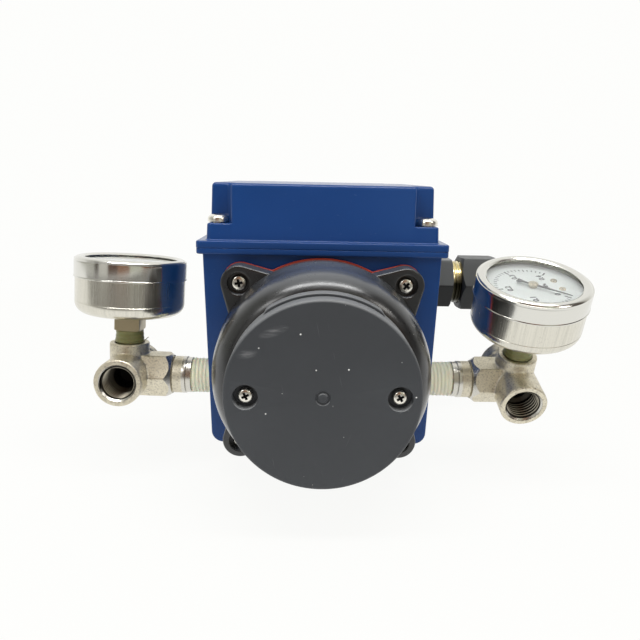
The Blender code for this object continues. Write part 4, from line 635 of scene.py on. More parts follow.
def moulding(name, colour, roughness, dusty=1.0, shine=0.4, painted_top_light=None, scuffs=(), coat=0.0):
    """Moulded plastic; the option after shine paints light onto upward-facing faces: the slope it starts
    and ends at and its colour.
    """
    look = Look(name, colour, roughness, Specular_IOR_Level=shine, Coat_Weight=coat,
                Coat_Roughness=0.2)
    look.mottled((30, 3), (0.4, 0.7), 0.5, times(colour, 1.3))
    # Painted light: faces turned upward are lightened, standing in for the light from above.
    if painted_top_light:
        look.tint(look.facing_up(*painted_top_light[:2]), painted_top_light[2])
    for x, y, wide, high, slant in scuffs:
        mapping = look.node("Mapping", ("Location", (x * MM, y * MM, 0)), ("Vector", look.place),
                            ("Rotation", (0, 0, math.radians(slant))),
                            ("Scale", (wide * MM, high * MM, 1)), vector_type="TEXTURE")
        from_middle = look.node("VectorMath", (0, mapping.outputs[0]), operation="LENGTH")
        haze = look.range(from_middle.outputs["Value"], 0.2, 1.0, 0.5, 0.0)
        rubbed = look.noise(1.0, 3, place=look.stretched((260, 1500, 300)))
        look.tint(look.times(haze, look.range(rubbed, 0.42, 0.6, 0.2, 1.0)), (0.24, 0.24, 0.245))
    look.specks(300, 0.06, 110, 0.9 * dusty, (0.55, 0.55, 0.52))
    if scuffs:
        look.specks(190, 0.075, 90, 1.0, (0.8, 0.8, 0.77), 0.5)
    for turn, slant, width in ((0, 0.35, 420), (1, -0.2, 560)):
        mapping = look.node("Mapping", ("Rotation", (0, 0, slant)), ("Vector", look.place),
                            ("Location", (0.31 * turn, 0.17 * turn, 0)))
        lines = look.noise(1.0, 1, place=look.stretched((width * 2.6, 70, 70), mapping.outputs[0]))
        patch = look.range(look.noise(55, 1, place=mapping.outputs[0]), 0.58, 0.66, 0.0, 0.3 * dusty)
        look.tint(look.times(look.range(lines, 0.7, 0.74, 0.0, 1.0), patch), (0.2, 0.2, 0.205))
    look.gloss(look.noise(420, 3), roughness - 0.04, roughness + 0.06)
    look.grain((2600, 2), 0.008, 0.4)
    return look.grain((45, 1), 0.06, 0.25)


def soft_sheet(name, colour, roughness, scale, second, grain):
    """Silicone or rubber."""
    look = Look(name, colour, roughness)
    look.mottled((scale, 2), (0.4, 0.7), 0.5, second)
    return look.grain((grain, 2), 0.02, 0.5)


def cast_steel():
    look = Look("cast_steel", (0.77, 0.715, 0.57), 0.44, 0.9)
    look.mottled((240, 4), (0.4, 0.68), 0.3, (0.56, 0.51, 0.40))
    look.mottled((1500, 3, 0.6), (0.5, 0.68), 0.7, (0.33, 0.30, 0.255))
    look.mottled((1900, 2, 0.6), (0.6, 0.72), 0.55, (0.85, 0.81, 0.70))
    look.gloss(look.noise(500, 3), 0.36, 0.54)
    look.grain((1400, 4, 0.65), 0.09, 0.8)
    return look.grain((330, 2), 0.08, 0.5)


def machined(name, colour, roughness):
    """Turned metal, with fine rings about the piece's own Z."""
    look = Look(name, colour, roughness, 1.0)
    rings = look.noise(1.0, 2, place=look.around(2.0, 9000))
    look.gloss(rings, roughness - 0.06, roughness + 0.08)
    look.relief(rings, 0.01, 0.5)
    return look.mottled((80, 2), (0.4, 0.7), 0.4, times(colour, 0.86))


def female_thread():
    """A cut thread in a port along the piece's own Y, bright on its crests, with painted shade in its roots
    and deeper into the port.
    """
    look = machined("thread_metal", (0.50, 0.46, 0.37), 0.34)
    x, y, z = look.split()
    # Painted shade in the roots, by distance from the port's axis.
    look.tint(look.range(look.distance(x, z), 5.8 * MM, 6.05 * MM, 0.0, 0.97), (0.02, 0.018, 0.015))
    # Painted shade that deepens further into the port.
    return look.tint(look.range(y, -13.5 * MM, -8.0 * MM, 0.0, 0.85), (0.03, 0.028, 0.024))


def dark_bore():
    """The inside of a drilled passage or a screw's recess, near black: painted shade where light does not
    reach.
    """
    look = Look("dark_bore", (0.006, 0.006, 0.0065), 0.65)
    look.mottled((300, 2), (0.4, 0.7), 0.6, (0.012, 0.011, 0.01))
    return look.grain((900, 2), 0.03, 0.5)


def drawn_steel():
    """Drawn sheet, brushed in fine streaks along the piece's own Z."""
    colour, roughness = (0.74, 0.715, 0.63), 0.2
    look = Look("drawn_steel", colour, roughness, 1.0)
    streaks = look.noise(1.0, 3, 0.6, place=look.around(45.0, 40))
    look.gloss(streaks, roughness - 0.05, roughness + 0.08)
    look.relief(streaks, 0.006, 0.35)
    look.tint(look.range(streaks, 0.5, 0.7, 0.0, 0.25), times(colour, 0.62))
    look.mottled((1.0, 2, 0.5, look.around(9.0, 30)), (0.45, 0.7), 0.25, times(colour, 0.72))
    return look.mottled((1600, 2), (0.6, 0.7), 0.25, times(colour, 0.6))


def polished_steel(name, colour, roughness):
    look = Look(name, colour, roughness, 1.0)
    look.gloss(look.noise(120, 3), roughness - 0.04, roughness + 0.06)
    look.grain((60, 2), 0.05, 0.4)
    return look.grain((900, 2), 0.004, 0.4)


def thread_tape(name, colour, dark, light):
    """Sealing tape wound over a thread: smooth wraps with folds and thin spots."""
    look = Look(name, colour, 0.4, 0.0, Subsurface_Weight=0.2, Subsurface_Scale=0.5 * MM)
    wraps = look.noise(1.0, 2, 0.5, place=look.around(0.7, 1500))
    look.tint(look.range(wraps, 0.55, 0.8, 0.0, 0.4), dark)
    look.tint(look.range(wraps, 0.25, 0.45, 0.5, 0.0), light)
    look.relief(wraps, 0.05, 0.5)
    return look.grain((700, 3), 0.03, 0.4)


def brass_with_painted_shade():
    """Brass with painted shade: bright on top and darkened below."""
    look = machined("gland_brass", (0.86, 0.76, 0.47), 0.26)
    # Painted shade: downward-facing faces are darkened.
    return look.tint(look.facing_up(0.35, 0.05), (0.05, 0.046, 0.03))


def dial_enamel():
    look = Look("dial_enamel", (0.88, 0.91, 0.895), 0.4)
    look.mottled((90, 2), (0.4, 0.7), 0.35, (0.83, 0.86, 0.85))
    return look.grain((900, 1), 0.01, 0.3)


def ink(name, colour):
    return Look(name, colour, 0.5).mottled((900, 2), (0.4, 0.7), 0.4, times(colour, 2.2))


def clear_glass():
    look = Look("clear_window", (0.97, 0.985, 0.98), 0.02, 0.0, Transmission_Weight=1.0, IOR=1.46)
    look.gloss(look.noise(60, 2), 0.01, 0.035)
    return look


def winding():
    look = Look("copper_winding", (0.42, 0.13, 0.045), 0.35, 0.7)
    wires = look.node("TexWave", ("Scale", 900), ("Vector", look.place), bands_direction="Y").outputs["Fac"]
    look.tint(wires, (0.24, 0.07, 0.025))
    return look.relief(wires, 0.1, 0.6)


def soft_iron():
    look = Look("soft_iron", (0.16, 0.16, 0.17), 0.5, 1.0)
    look.mottled((200, 3), (0.4, 0.7), 0.6, (0.26, 0.25, 0.24))
    return look.grain((1200, 3), 0.03, 0.5)


# Fasteners

def pan_head(radius, height, shank_radius, reach, cross=1.0, power=0.4):
    """A domed head with a cross recess, its seat at Z = 0 and its shank below."""
    crown = [(radius * c ** power, height * (0.36 + 0.64 * s)) for c, s in
             map(unit, (0, 15, 30, 45, 58, 70, 80))]
    profile = [(0, -reach), (shank_radius - 0.3 * MM, -reach), (shank_radius, -reach + 0.3 * MM),
               (shank_radius, 0), (radius - 0.1 * MM, 0), (radius, 0.1 * MM)] + crown + [(0, height)]
    arm, half, depth = 0.54 * radius * cross, 0.14 * radius, 0.7 * height
    slots = []
    for turn in (0, 90):
        slot = lofted([at_height(each_corner(arm * 0.55, half * 0.8), height - depth),
                       at_height(each_corner(arm, half * 1.25), height + 0.2 * MM)])
        # The recess faces take the screw's second material, which is painted shade.
        slots.append(placed(faced(slot, lambda place: 1), spin(turn + 20)))
    return carved(turned(profile, 48), *slots)


def faced(shape, choose):
    """Gives each face of a cutter the material slot that choose returns for its middle."""
    for face in shape.faces:
        face.material_index = choose(face.calc_center_median())
    return shape


# Housing and cover

def body_section(inset):
    low, high = BODY_HALF_LOW - inset, BODY_HALF_HIGH - inset
    top = (FLANGE_LOW + FLANGE_HIGH) / 2
    corners = [(-low, inset), (low, inset), (high, top), (-high, top)]
    return rounded(corners, [4.4 * MM, 4.4 * MM, 0.05 * MM, 0.05 * MM], 8)


def body_shell():
    edge = 5 * MM
    rows = [(BODY_FRONT + h, i) for h, i in eased(0, edge, 0.7 * MM, 4, top=False)[:-1]]
    rows += [(BODY_REAR - edge + h, i) for h, i in eased(0, edge, 2 * MM, 6, bottom=False)[1:]]
    return lofted([[Vector((x, y, z)) for x, z in body_section(inset)] for y, inset in rows])


def cavity():
    x, post = 36.4 * MM, 28.9 * MM
    front, rear = -22 * MM, 43.7 * MM
    step = rear - 7.5 * MM
    corners = [(-x, front), (x, front), (x, step), (post, step), (post, rear), (-post, rear),
               (-post, step), (-x, step)]
    outline = rounded(corners, [2 * MM] * 8, 4)
    return lofted([at_height(outline, 5 * MM), at_height(outline, FLANGE_HIGH + 2 * MM)])


def side_port(toward):
    outside, inside = BODY_HALF_HIGH + 2 * MM, BODY_HALF_LOW - 7.5 * MM
    profile = [(0, 7 * MM), (2.5 * MM, 7 * MM), (2.5 * MM, inside), (7.3 * MM, inside),
               (7.3 * MM, outside), (0, outside)]
    return shifted(placed(turned(profile, 64), toward), y=PORT[0], z=PORT[1])


def seal_groove():
    outer = rectangle(43.15 * MM, 48.73 * MM, 2.2 * MM)
    inner = rectangle(40.95 * MM, 46.53 * MM, 1.1 * MM)
    low, high = FLANGE_HIGH - 1.9 * MM, FLANGE_HIGH + 2 * MM
    return lofted([at_height(outline, z) for outline, z in
                   ((outer, low), (outer, high), (inner, high), (inner, low))], looped=True)


def drilled(radius, low, high, segments, places):
    """Cylinders of one size at several places."""
    return [shifted(cylinder(radius, low, high, segments), x, y) for x, y in places]


def make_housing():
    body = mesh_object("housing_casting", body_shell())
    rows = eased(FLANGE_LOW, FLANGE_HIGH, 0.5 * MM, 4, top=False)[:-1]
    rows += eased(FLANGE_LOW, FLANGE_HIGH, 0.25 * MM, 3, bottom=False)[1:]
    grow(body, lofted([at_height(rectangle(FLANGE_HALF, BODY_REAR + FLANGE_REACH, FLANGE_CORNER, 8, i), z)
                       for z, i in rows]))
    conduit = 13 * MM
    boss = [(0, 38 * MM), (conduit, 38 * MM)]
    boss += [(conduit - i, z) for z, i in eased(45 * MM, CONDUIT_END, 0.8 * MM, 5, bottom=False)]
    grow(body, placed(turned(boss + [(0, CONDUIT_END)], 96), GLAND_AXIS))
    cut(body, cavity())
    grow(body, joined(cylinder(11 * MM, FLOOR_MIDDLE, 20 * MM, 64),
                      *drilled(4 * MM, FLOOR_MIDDLE, 22 * MM, 32, POSTS)))
    grow(body, joined(*drilled(5 * MM, FLOOR_MIDDLE, 14 * MM, 32, each_corner(*MOUNT_HOLE)[:1:-1])))
    cut(body, joined(cylinder(6.8 * MM, -2 * MM, 22 * MM, 64),
                     *drilled(1.9 * MM, 14 * MM, 24 * MM, 16, POSTS)))
    hole = mm((0, -1), (4.1, -1), (3, 0.5), (3, 9), (0, 10))
    holes = [shifted(turned(hole, 40), x, y) for x, y in each_corner(*MOUNT_HOLE)]
    holes += [shifted(placed(cylinder(SCREW_HOLE, -8 * MM, 2 * MM, 20), FACING), x, BODY_FRONT,
                      PILOT_HEIGHT + y) for x, y in each_corner(EAR_PITCH, EAR_PITCH)]
    past = FLANGE_HIGH + 2 * MM
    holes += drilled(2.3 * MM, FLANGE_HIGH - 9 * MM, past, 20, each_corner(*COVER_SCREW))
    cut(body, joined(*holes))
    cut(body, placed(cylinder(14 * MM, -18 * MM, 2 * MM, 64), PILOT))
    cut(body, side_port(TO_LEFT))
    cut(body, side_port(TO_RIGHT))
    cut(body, placed(cylinder(9.8 * MM, 32 * MM, 54 * MM, 64), GLAND_AXIS))
    knobs = drilled(2.3 * MM, FLANGE_HIGH - 10.3 * MM, past, 16, mm((-14, -35), (14, -35)))
    knobs += drilled(3.8 * MM, FLANGE_HIGH - 9.3 * MM, past, 24, mm((0, -35)))
    knobs += drilled(2.3 * MM, FLANGE_HIGH - 9 * MM, past, 16, mm((26.05, -28)))
    cut(body, joined(*knobs))
    cut(body, seal_groove())
    finish_piece(body, "paint", "body_housing", angle=32)


CORNER_EASE = 0.9 * MM
COVER_SIDES = [((1, 0), (0, -1), POCKET_HALF_X, POCKET_Y), ((0, 1), (1, 0), POCKET_Y, POCKET_HALF_X),
               ((-1, 0), (0, 1), POCKET_HALF_X, POCKET_Y), ((0, -1), (-1, 0), POCKET_Y, POCKET_HALF_X)]


def cover_halves(z):
    share = (z - COVER_BAND_HIGH) / (COVER_HIGH - COVER_EDGE - COVER_BAND_HIGH)
    taper = COVER_DRAFT * max(0.0, min(1.0, share))
    return COVER_HALF_LOW - taper, BODY_REAR - taper


def cover_corner(side, halves, inset, upper):
    """One corner of the cover's outline: round the outside, or in round its pocket."""
    ahead, out, start, finish = side
    length, high = halves if ahead[0] else reversed(halves)
    length, high = length - inset, high - inset
    start, finish = start - inset, finish - inset
    ease = max(CORNER_EASE - inset, 0.03 * MM)
    if upper:
        wide = 3 * MM + inset
        path = arc((start - ease, high - ease), ease, 90, 0, 5)
        path += arc((start + wide, finish + wide), wide, 180, 270, 12)
        path += arc((length - ease, finish - ease), ease, 90, 0, 5)
    else:
        corner, beside = max(1.8 * MM - inset, 0.1 * MM), 1.2 * MM
        path = [(start - ease, high), (start, high), (start + beside, high)]
        path += arc((length - corner, high - corner), corner, 90, 0, 8)
        path += [(length, finish + beside), (length, finish), (length, finish - ease)]
    return [(ahead[0] * a + out[0] * c, ahead[1] * a + out[1] * c) for a, c in path]


def cover_ring(halves, inset=0.0, upper=False):
    return [point for side in COVER_SIDES for point in cover_corner(side, halves, inset, upper)]


def make_cover():
    rows = eased(COVER_LOW, COVER_BAND_HIGH, 0.2 * MM, 3, top=False)[:-1]
    rows += eased(COVER_LOW, COVER_BAND_HIGH, 0.6 * MM, 5, bottom=False)[1:]
    longer = BODY_REAR + FLANGE_REACH - FLANGE_HALF
    lower = [at_height(cover_ring((FLANGE_HALF - i, FLANGE_HALF - i + longer)), z) for z, i in rows]
    fillet = edge = 0.7 * MM
    for c, s in map(unit, (90, 60, 30, 0)):
        z = COVER_BAND_HIGH + fillet * (1 - s)
        lower.append(at_height(cover_ring([half + fillet * (1 - c) for half in cover_halves(z)]), z))
    count = len(lower[0]) // 4
    for c, s in map(unit, (0, 22.5, 45, 67.5, 90)):
        base, full = (cover_ring(cover_halves(POCKET_FLOOR), inset) for inset in (0.0, edge * (1 - c)))
        points = []
        for k, (first, second) in enumerate(zip(base, full)):
            fade = min(1.0, 0.5 * min(k % count, count - 1 - k % count))
            x = first[0] + (second[0] - first[0]) * fade
            y = first[1] + (second[1] - first[1]) * fade
            points.append(Vector((x, y, POCKET_FLOOR - fade * edge * (1 - s))))
        lower.append(points)
    shape = bmesh.new()
    lower = [[shape.verts.new(point) for point in points] for points in lower]
    skin(shape, lower)
    shape.faces.new(list(reversed(lower[0])))
    heights = [(POCKET_FLOOR, 0.0), (COVER_HIGH - COVER_EDGE, 0.0)]
    heights += [(COVER_HIGH - COVER_EDGE * (1 - s), COVER_EDGE * (1 - c))
                for c, s in map(unit, (15, 30, 45, 60, 75, 90))]
    upper = [[shape.verts.new(point) for point in at_height(cover_ring(cover_halves(z), i, True), z)]
             for z, i in heights]
    skin(shape, upper)
    shape.faces.new(upper[-1])
    many = len(upper[0]) // 4
    for k in range(4):
        inner = upper[0][k * many:(k + 1) * many]
        shape.faces.new(lower[-1][k * count:(k + 1) * count] + list(reversed(inner)))
    cover = mesh_object("cover_casting", shape)
    x, y, in_x, in_y = 37.1 * MM, 44.4 * MM, 29.0 * MM, 33.4 * MM
    corners = []
    for side_x, side_y in each_corner(1, 1):
        bend = [(in_x, y), (in_x, in_y), (x, in_y)]
        if side_x * side_y > 0:
            bend.reverse()
        corners += [(side_x * px, side_y * py) for px, py in bend]
    outline = rounded(corners, [1.5 * MM] * 12, 4)
    cut(cover, lofted([at_height(outline, COVER_LOW - 2 * MM), at_height(outline, 93.16 * MM)]))
    cut(cover, joined(*drilled(2.3 * MM, COVER_LOW - 2 * MM, POCKET_FLOOR + 2 * MM, 24,
                               each_corner(*COVER_SCREW))))
    finish_piece(cover, "paint", "front_cover", angle=32)
    for i, (x, y) in enumerate(each_corner(*COVER_SCREW)):
        reach = POCKET_FLOOR - (FLANGE_HIGH - 9 * MM)
        piece(f"cover_pan_screw_{i + 1}", pan_head(3.85 * MM, 2.7 * MM, 2 * MM, reach, 0.9, 0.62),
              at(x, y, POCKET_FLOOR + GAP) @ spin((12, 50, 77, 33)[i]), "screw", f"cover_screw_{i + 1}")


# Pilot valve, built along local Z out of the pilot face, with local Y up

def eared_outline(radius, inset):
    reach = EAR_PITCH * math.sqrt(2)
    ear, disc = EAR_RADIUS - inset, radius - inset
    lean_c, lean_s = unit(WEB_ANGLE)
    tip = Vector((reach + ear * lean_s, ear * lean_c))
    slope = Vector((-lean_c, lean_s))
    along = -tip.dot(slope) - math.sqrt(tip.dot(slope) ** 2 - tip.length_squared + disc ** 2)
    foot = tip + slope * along
    foot_angle = math.degrees(math.atan2(foot.y, foot.x))
    half_turn = 90 - WEB_ANGLE
    outline = []
    for axis in (45, 135, 225, 315):
        c, s = unit(axis)
        outline += arc((0, 0), disc, axis - 90 + foot_angle, axis - foot_angle, 40)
        outline += arc((reach * c, reach * s), ear, axis - half_turn, axis + half_turn, 24)
    return outline


def stepped_hole(low, face):
    edge, seat = 0.4 * MM, face - BORE_DEPTH
    rim = [(BORE_RADIUS + edge * (1 - c), face - edge * (1 - s)) for c, s in map(unit, (0, 30, 60, 90))]
    return turned([(0, low), (SCREW_HOLE, low), (SCREW_HOLE, seat), (BORE_RADIUS, seat)] + rim
                  + [(BORE_RADIUS + edge, face + 2 * MM), (0, face + 2 * MM)], 72)


def at_ears(make):
    return joined(*[shifted(make(), x, y) for x, y in each_corner(EAR_PITCH, EAR_PITCH)])


def dome_profile():
    mid, bore, seat = DOME_WIDEST_AT, 12.3 * MM, 26 * MM
    profile = [(bore, PILOT_BACK), (DOME_ROOT - 0.4 * MM, PILOT_BACK),
               (DOME_ROOT, PILOT_BACK + 0.4 * MM), (DOME_ROOT, 3.1 * MM),
               (DOME_RADIUS - 0.08 * MM, mid - 0.8 * MM), (DOME_RADIUS + 0.12 * MM, mid - 0.3 * MM),
               (DOME_RADIUS + 0.12 * MM, mid + 0.15 * MM), (DOME_RADIUS - 0.06 * MM, mid + 0.5 * MM)]
    depth = DOME_FRONT - SHOULDER_AT
    profile += [(DOME_FRONT_RADIUS + (SHOULDER_RADIUS - DOME_FRONT_RADIUS) * c, SHOULDER_AT + depth * s)
                for c, s in map(unit, range(0, 91, 6))]
    return profile + [(20 * MM, DOME_FRONT), (20 * MM, seat), (bore, seat)]


def make_pilot():
    lip = -0.15 * MM
    rows = [(GASKET[0], 0.0), (GASKET[0] + 0.2 * MM, lip), (GASKET[1] - 0.2 * MM, lip), (GASKET[1], 0.0)]
    gasket = mesh_object("silicone_gasket", lofted([at_height(eared_outline(GASKET_DISC, i), z)
                                                    for z, i in rows]))
    gasket.matrix_world = PILOT
    cut(gasket, cylinder(14 * MM, -1 * MM, PILOT_BACK, 64))
    cut(gasket, at_ears(lambda: cylinder(SCREW_HOLE, -1 * MM, PILOT_BACK + 1 * MM, 24)))
    finish_piece(gasket, "red", "pilot_gasket")
    housing = mesh_object("pilot_moulding", turned(dome_profile(), 160, True))
    housing.matrix_world = PILOT
    rows = [(PILOT_BACK, 0.4 * MM), (PILOT_BACK + 0.4 * MM, 0.0)]
    rows += eased(PILOT_BACK, EAR_PLANE, 0.7 * MM, 5, bottom=False)[1:]
    grow(housing, lofted([at_height(eared_outline(DOME_ROOT - 1 * MM, i), z) for z, i in rows]))
    cut(housing, cylinder(12.3 * MM, 0, EAR_PLANE + 2 * MM, 64))
    cut(housing, at_ears(lambda: stepped_hole(0, EAR_PLANE)))
    cut(housing, joined(*drilled(SCREW_HOLE, DOME_FRONT - SCREW_REACH, DOME_FRONT + 2 * MM, 24,
                                 ((-CAP_SCREW_PITCH, 0), (CAP_SCREW_PITCH, 0)))))
    finish_piece(housing, "black", "pilot_housing", angle=30)
    seat = EAR_PLANE - BORE_DEPTH + GAP
    for i, (x, y) in enumerate(each_corner(EAR_PITCH, EAR_PITCH)):
        piece(f"pilot_pan_screw_{i + 1}", pan_head(2.8 * MM, 2 * MM, 1.5 * MM, seat + SCREW_REACH),
              PILOT @ at(x, y, seat) @ spin((17, 64, 31, 80)[i]), "screw", f"pilot_screw_{i + 1}")


def cap_lip(low, high):
    """The raised rim over the cap's upper side, run out at both ends."""
    first, last, steps, fade = 50.5, 129.5, 64, 7.0
    rings = []
    for z, inset in eased(low, high, 0.5 * MM, 4):
        ring = []
        for k in range(steps + 1):
            angle = first + (last - first) * k / steps
            share = min(1.0, (angle - first) / fade, (last - angle) / fade)
            share = share * share * (3 - 2 * share)
            radius = CAP_RADIUS - 0.3 * MM + (1.3 * MM - inset) * share
            c, s = unit(angle)
            ring.append((radius * c, radius * s))
        rings.append(at_height(ring + arc((0, 0), CAP_RADIUS - 2 * MM, last, first, 48), z))
    return lofted(rings)


def make_cap():
    back, front = DOME_FRONT + GAP, CAP_FRONT
    profile = mm((0, 39), (16, 39), (16, 27.6), (19.7, 27.6))
    profile += [(19.7 * MM, back), (CAP_RADIUS - 0.2 * MM, back), (CAP_RADIUS, back + 0.2 * MM)]
    profile += [(CAP_RADIUS - i, z) for z, i in eased(back, front, 1.2 * MM, 6, bottom=False)[1:]]
    pip = ((2.4, 0), (2.3, -0.12), (2.2, -0.5), (1.65, -0.5), (1.5, -0.1), (1.3, 0.05), (0.8, 0.02),
           (0, -0.25))
    profile += [(r * MM, front + z * MM) for r, z in pip]
    cap = mesh_object("cap_moulding", turned(profile, 160))
    cap.matrix_world = PILOT
    grow(cap, cap_lip(back + 0.1 * MM, back + 4.6 * MM))
    cut(cap, joined(*[shifted(stepped_hole(back - 2 * MM, front), side * CAP_SCREW_PITCH)
                      for side in (-1, 1)]))
    nib = mm((0, -0.3), (0.3, -0.3), (0.3, 0), (0.2, 0.06), (0, 0.09))
    grow(cap, joined(*[shifted(turned(nib, 16), x, y, front) for x, y in
                       mm((-24.55, -4.4), (-22.35, -4.4), (23.66, -4.5), (26.1, -3.8))]))
    finish_piece(cap, "cap", "pilot_cap", angle=30)
    seat = front - BORE_DEPTH + GAP
    for i, side in enumerate((-1, 1)):
        reach = seat - (DOME_FRONT - SCREW_REACH) - GAP
        piece(f"cap_pan_screw_{i + 1}", pan_head(2.42 * MM, 2 * MM, 1.5 * MM, reach),
              PILOT @ at(side * CAP_SCREW_PITCH, 0, seat) @ spin((5, 12)[i]), "screw",
              f"cap_screw_{i + 1}")


# Elbow tees and gauges

def hex_ring(across_flats, z, ease, turn=30.0, sides=6):
    corner = across_flats / 2 / math.cos(math.pi / sides)
    corners = arc((0, 0), corner, turn, turn + 360, sides)[:-1]
    return at_height(rounded(corners, [ease] * sides, 4), z)


def cast_tee(toward_body):
    """The cast skin: hexagon, barrel and gauge boss grown together, blended where they meet."""
    hexed = lofted([hex_ring(HEX_FLATS, z, 0.35 * MM) for z in (1 * MM, HEX_END + 1.2 * MM)])
    b, band, edge = BARREL_RADIUS, BAND_RADIUS, 2.6 * MM
    barrel = [(0, -BARREL_BACK)]
    barrel += [(band - edge * (1 - c), -BARREL_BACK + edge * (1 - s))
               for c, s in map(unit, range(90, -1, -10))]
    barrel += [(band, BAND_END), (b, BAND_END + band - b), (b, BARREL_FRONT - 0.5 * MM),
               (b - 0.5 * MM, BARREL_FRONT), (0, BARREL_FRONT)]
    boss = [(0, 1 * MM), (BOSS_RADIUS, 1 * MM), (BOSS_RADIUS, BOSS_HIGH - 0.4 * MM),
            (BOSS_RADIUS - 0.4 * MM, BOSS_HIGH), (0, BOSS_HIGH)]
    tee = mesh_object("skin", joined(placed(hexed, toward_body), placed(turned(barrel, 72), FACING),
                                     turned(boss, 72)))
    remesh = tee.modifiers.new("remesh", "REMESH")
    remesh.mode = "VOXEL"
    remesh.voxel_size = 0.32 * MM
    remesh.adaptivity = 0.0
    relax = tee.modifiers.new("relax", "SMOOTH")
    relax.factor = 0.5
    relax.iterations = 5
    bpy.context.view_layer.update()
    settled(tee)
    normals = [vertex.normal.copy() for vertex in tee.data.vertices]
    for vertex, normal in zip(tee.data.vertices, normals):
        wander = noise.noise(vertex.co * 260) * 0.05 + noise.noise(vertex.co * 900) * 0.03
        vertex.co += normal * wander * MM
    return taken(tee)


# The tee's material slots; DARK and THREADED paint shade inside its bores.
CAST, BRIGHT, DARK, THREADED = 0, 1, 2, 3


def make_tee(name, toward, matrix):
    tee = mesh_object(f"{name}_tee_casting", cast_tee(toward))
    tee.matrix_world = matrix
    for material in LOOKS["tee"]:
        tee.data.materials.append(material)
    wide = 12 * MM
    cone = turned([(9.4 * MM, HEX_END - 1.55 * MM), (wide, HEX_END - 1.55 * MM), (wide, HEX_END + 3 * MM),
                   (6.9 * MM, HEX_END + 3 * MM), (6.9 * MM, HEX_END + 2.1 * MM)], 96, True)
    cut(tee, faced(placed(cone, toward), lambda place: BRIGHT))
    neck = mm((0, 6), (6.6, 6), (6.6, 17.3), (7.0, 17.7), (7.2, 18.1), (7.2, 21.2), (7.26, 21.3),
              (7.26, 22.7), (7.0, 22.85), (6.75, 22.95), (6.75, 23.15), (6.95, 23.25), (6.95, 24.8),
              (6.7, 25.0), (6.2, 25.3), (6.2, 36.8), (5.7, 37.6), (0, 37.6))
    shape = faced(turned(neck, 96), lambda place: CAST if 17.6 * MM < place.z < 21.25 * MM else BRIGHT)
    grow(tee, placed(shape, toward))
    front = BARREL_FRONT
    port = [(0, -2 * MM), (4.6 * MM, -2 * MM), (4.6 * MM, front - 11.2 * MM), (5.6 * MM, front - 10.4 * MM),
            (6.4 * MM, front - 10.1 * MM), (6.4 * MM, front - 0.9 * MM), (7.0 * MM, front - 0.3 * MM),
            (7.0 * MM, front + 2 * MM), (0, front + 2 * MM)]
    # Painted shade: the bore's floor goes dark and its threaded wall takes the darkened steel.
    shape = faced(turned(port, 96), lambda place: DARK if place.z < front - 10.8 * MM else
                  THREADED if place.z < front - 0.85 * MM else BRIGHT)
    cut(tee, placed(shape, FACING))
    cut(tee, placed(tube(0.5 * MM, wide, front - 0.12 * MM, front + 3 * MM, 72), FACING))
    past = BOSS_HIGH + 2 * MM
    cut(tee, faced(cylinder(5.75 * MM, BOSS_HIGH - 6.5 * MM, past, 64), lambda place: BRIGHT))
    cut(tee, tube(5.0 * MM, 9 * MM, BOSS_HIGH - 0.1 * MM, past, 72))
    # Painted shade down the nipple's bore.
    cut(tee, faced(placed(cylinder(4 * MM, 0, NIPPLE_END + 2 * MM, 40), toward), lambda place: DARK))
    finish_piece(tee, "tee", f"{name}_tee", angle=32)
    bar = helix_ridge(5.75 * MM, 6.46 * MM, front - 9.6 * MM, front - 0.8 * MM, 48)
    piece(f"{name}_port_thread", placed(bar, FACING), matrix, "thread", angle=50)


def tape_skin(radii, low, high, ridges, swell, seed):
    """A taped thread: a skin that sags between the crests, with folds and a ragged end."""
    rings = []
    rows, segments = int((high - low) / (0.14 * MM)), 128
    random.seed(seed)
    edges = [(random.uniform(-0.2, 0.2), random.uniform(0, 6.28)) for _ in range(3)]
    for k in range(rows + 1):
        t = k / rows
        ring = []
        for i in range(segments):
            a = 2 * math.pi * i / segments
            ragged = sum(amp * math.sin((n + 1) * a + phase) for n, (amp, phase) in enumerate(edges))
            start = low + ragged * 0.3 * MM
            z = start + (high - start) * t
            wind = math.cos(2 * math.pi * (ridges * t - a / (2 * math.pi)))
            wrap = noise.noise(Vector((1.6 * math.cos(a), 1.6 * math.sin(a), z * 500 + seed)))
            across = (t - 0.5) * 5 - 1.6 * math.sin(a + seed)
            fold = math.exp(-across * across * 6) * (0.5 + 0.5 * math.sin(a + seed + 1.2))
            r = radii[0] + (radii[1] - radii[0]) * t - 0.25 * MM
            r += swell * wind + 0.08 * MM * wrap + 0.12 * MM * fold
            if t < 0.09:
                r += 0.1 * MM
            if k == 0 or k == rows:
                r -= 0.45 * MM
            ring.append(Vector((r * math.cos(a), r * math.sin(a), z)))
        rings.append(ring)
    rings += [[Vector((p.x * 0.86, p.y * 0.86, p.z)) for p in ring] for ring in (rings[-1], rings[0])]
    return lofted(rings, looped=True)


def gauge_text(text, size):
    data = bpy.data.curves.new("text", "FONT")
    data.body = text
    data.size = size
    data.offset = 0.035 * size
    data.align_x = "CENTER"
    data.align_y = "CENTER"
    data.extrude = 0.03 * MM
    data.resolution_u = 3
    obj = bpy.data.objects.new("text", data)
    bpy.context.scene.collection.objects.link(obj)
    bpy.context.view_layer.update()
    mesh = bpy.data.meshes.new_from_object(obj.evaluated_get(bpy.context.evaluated_depsgraph_get()))
    shape = bmesh.new()
    shape.from_mesh(mesh)
    bpy.data.objects.remove(obj, do_unlink=True)
    bpy.data.meshes.remove(mesh)
    return shape


def on_dial(radius, angle, z):
    c, s = unit(angle)
    return at(radius * c, radius * s, z)


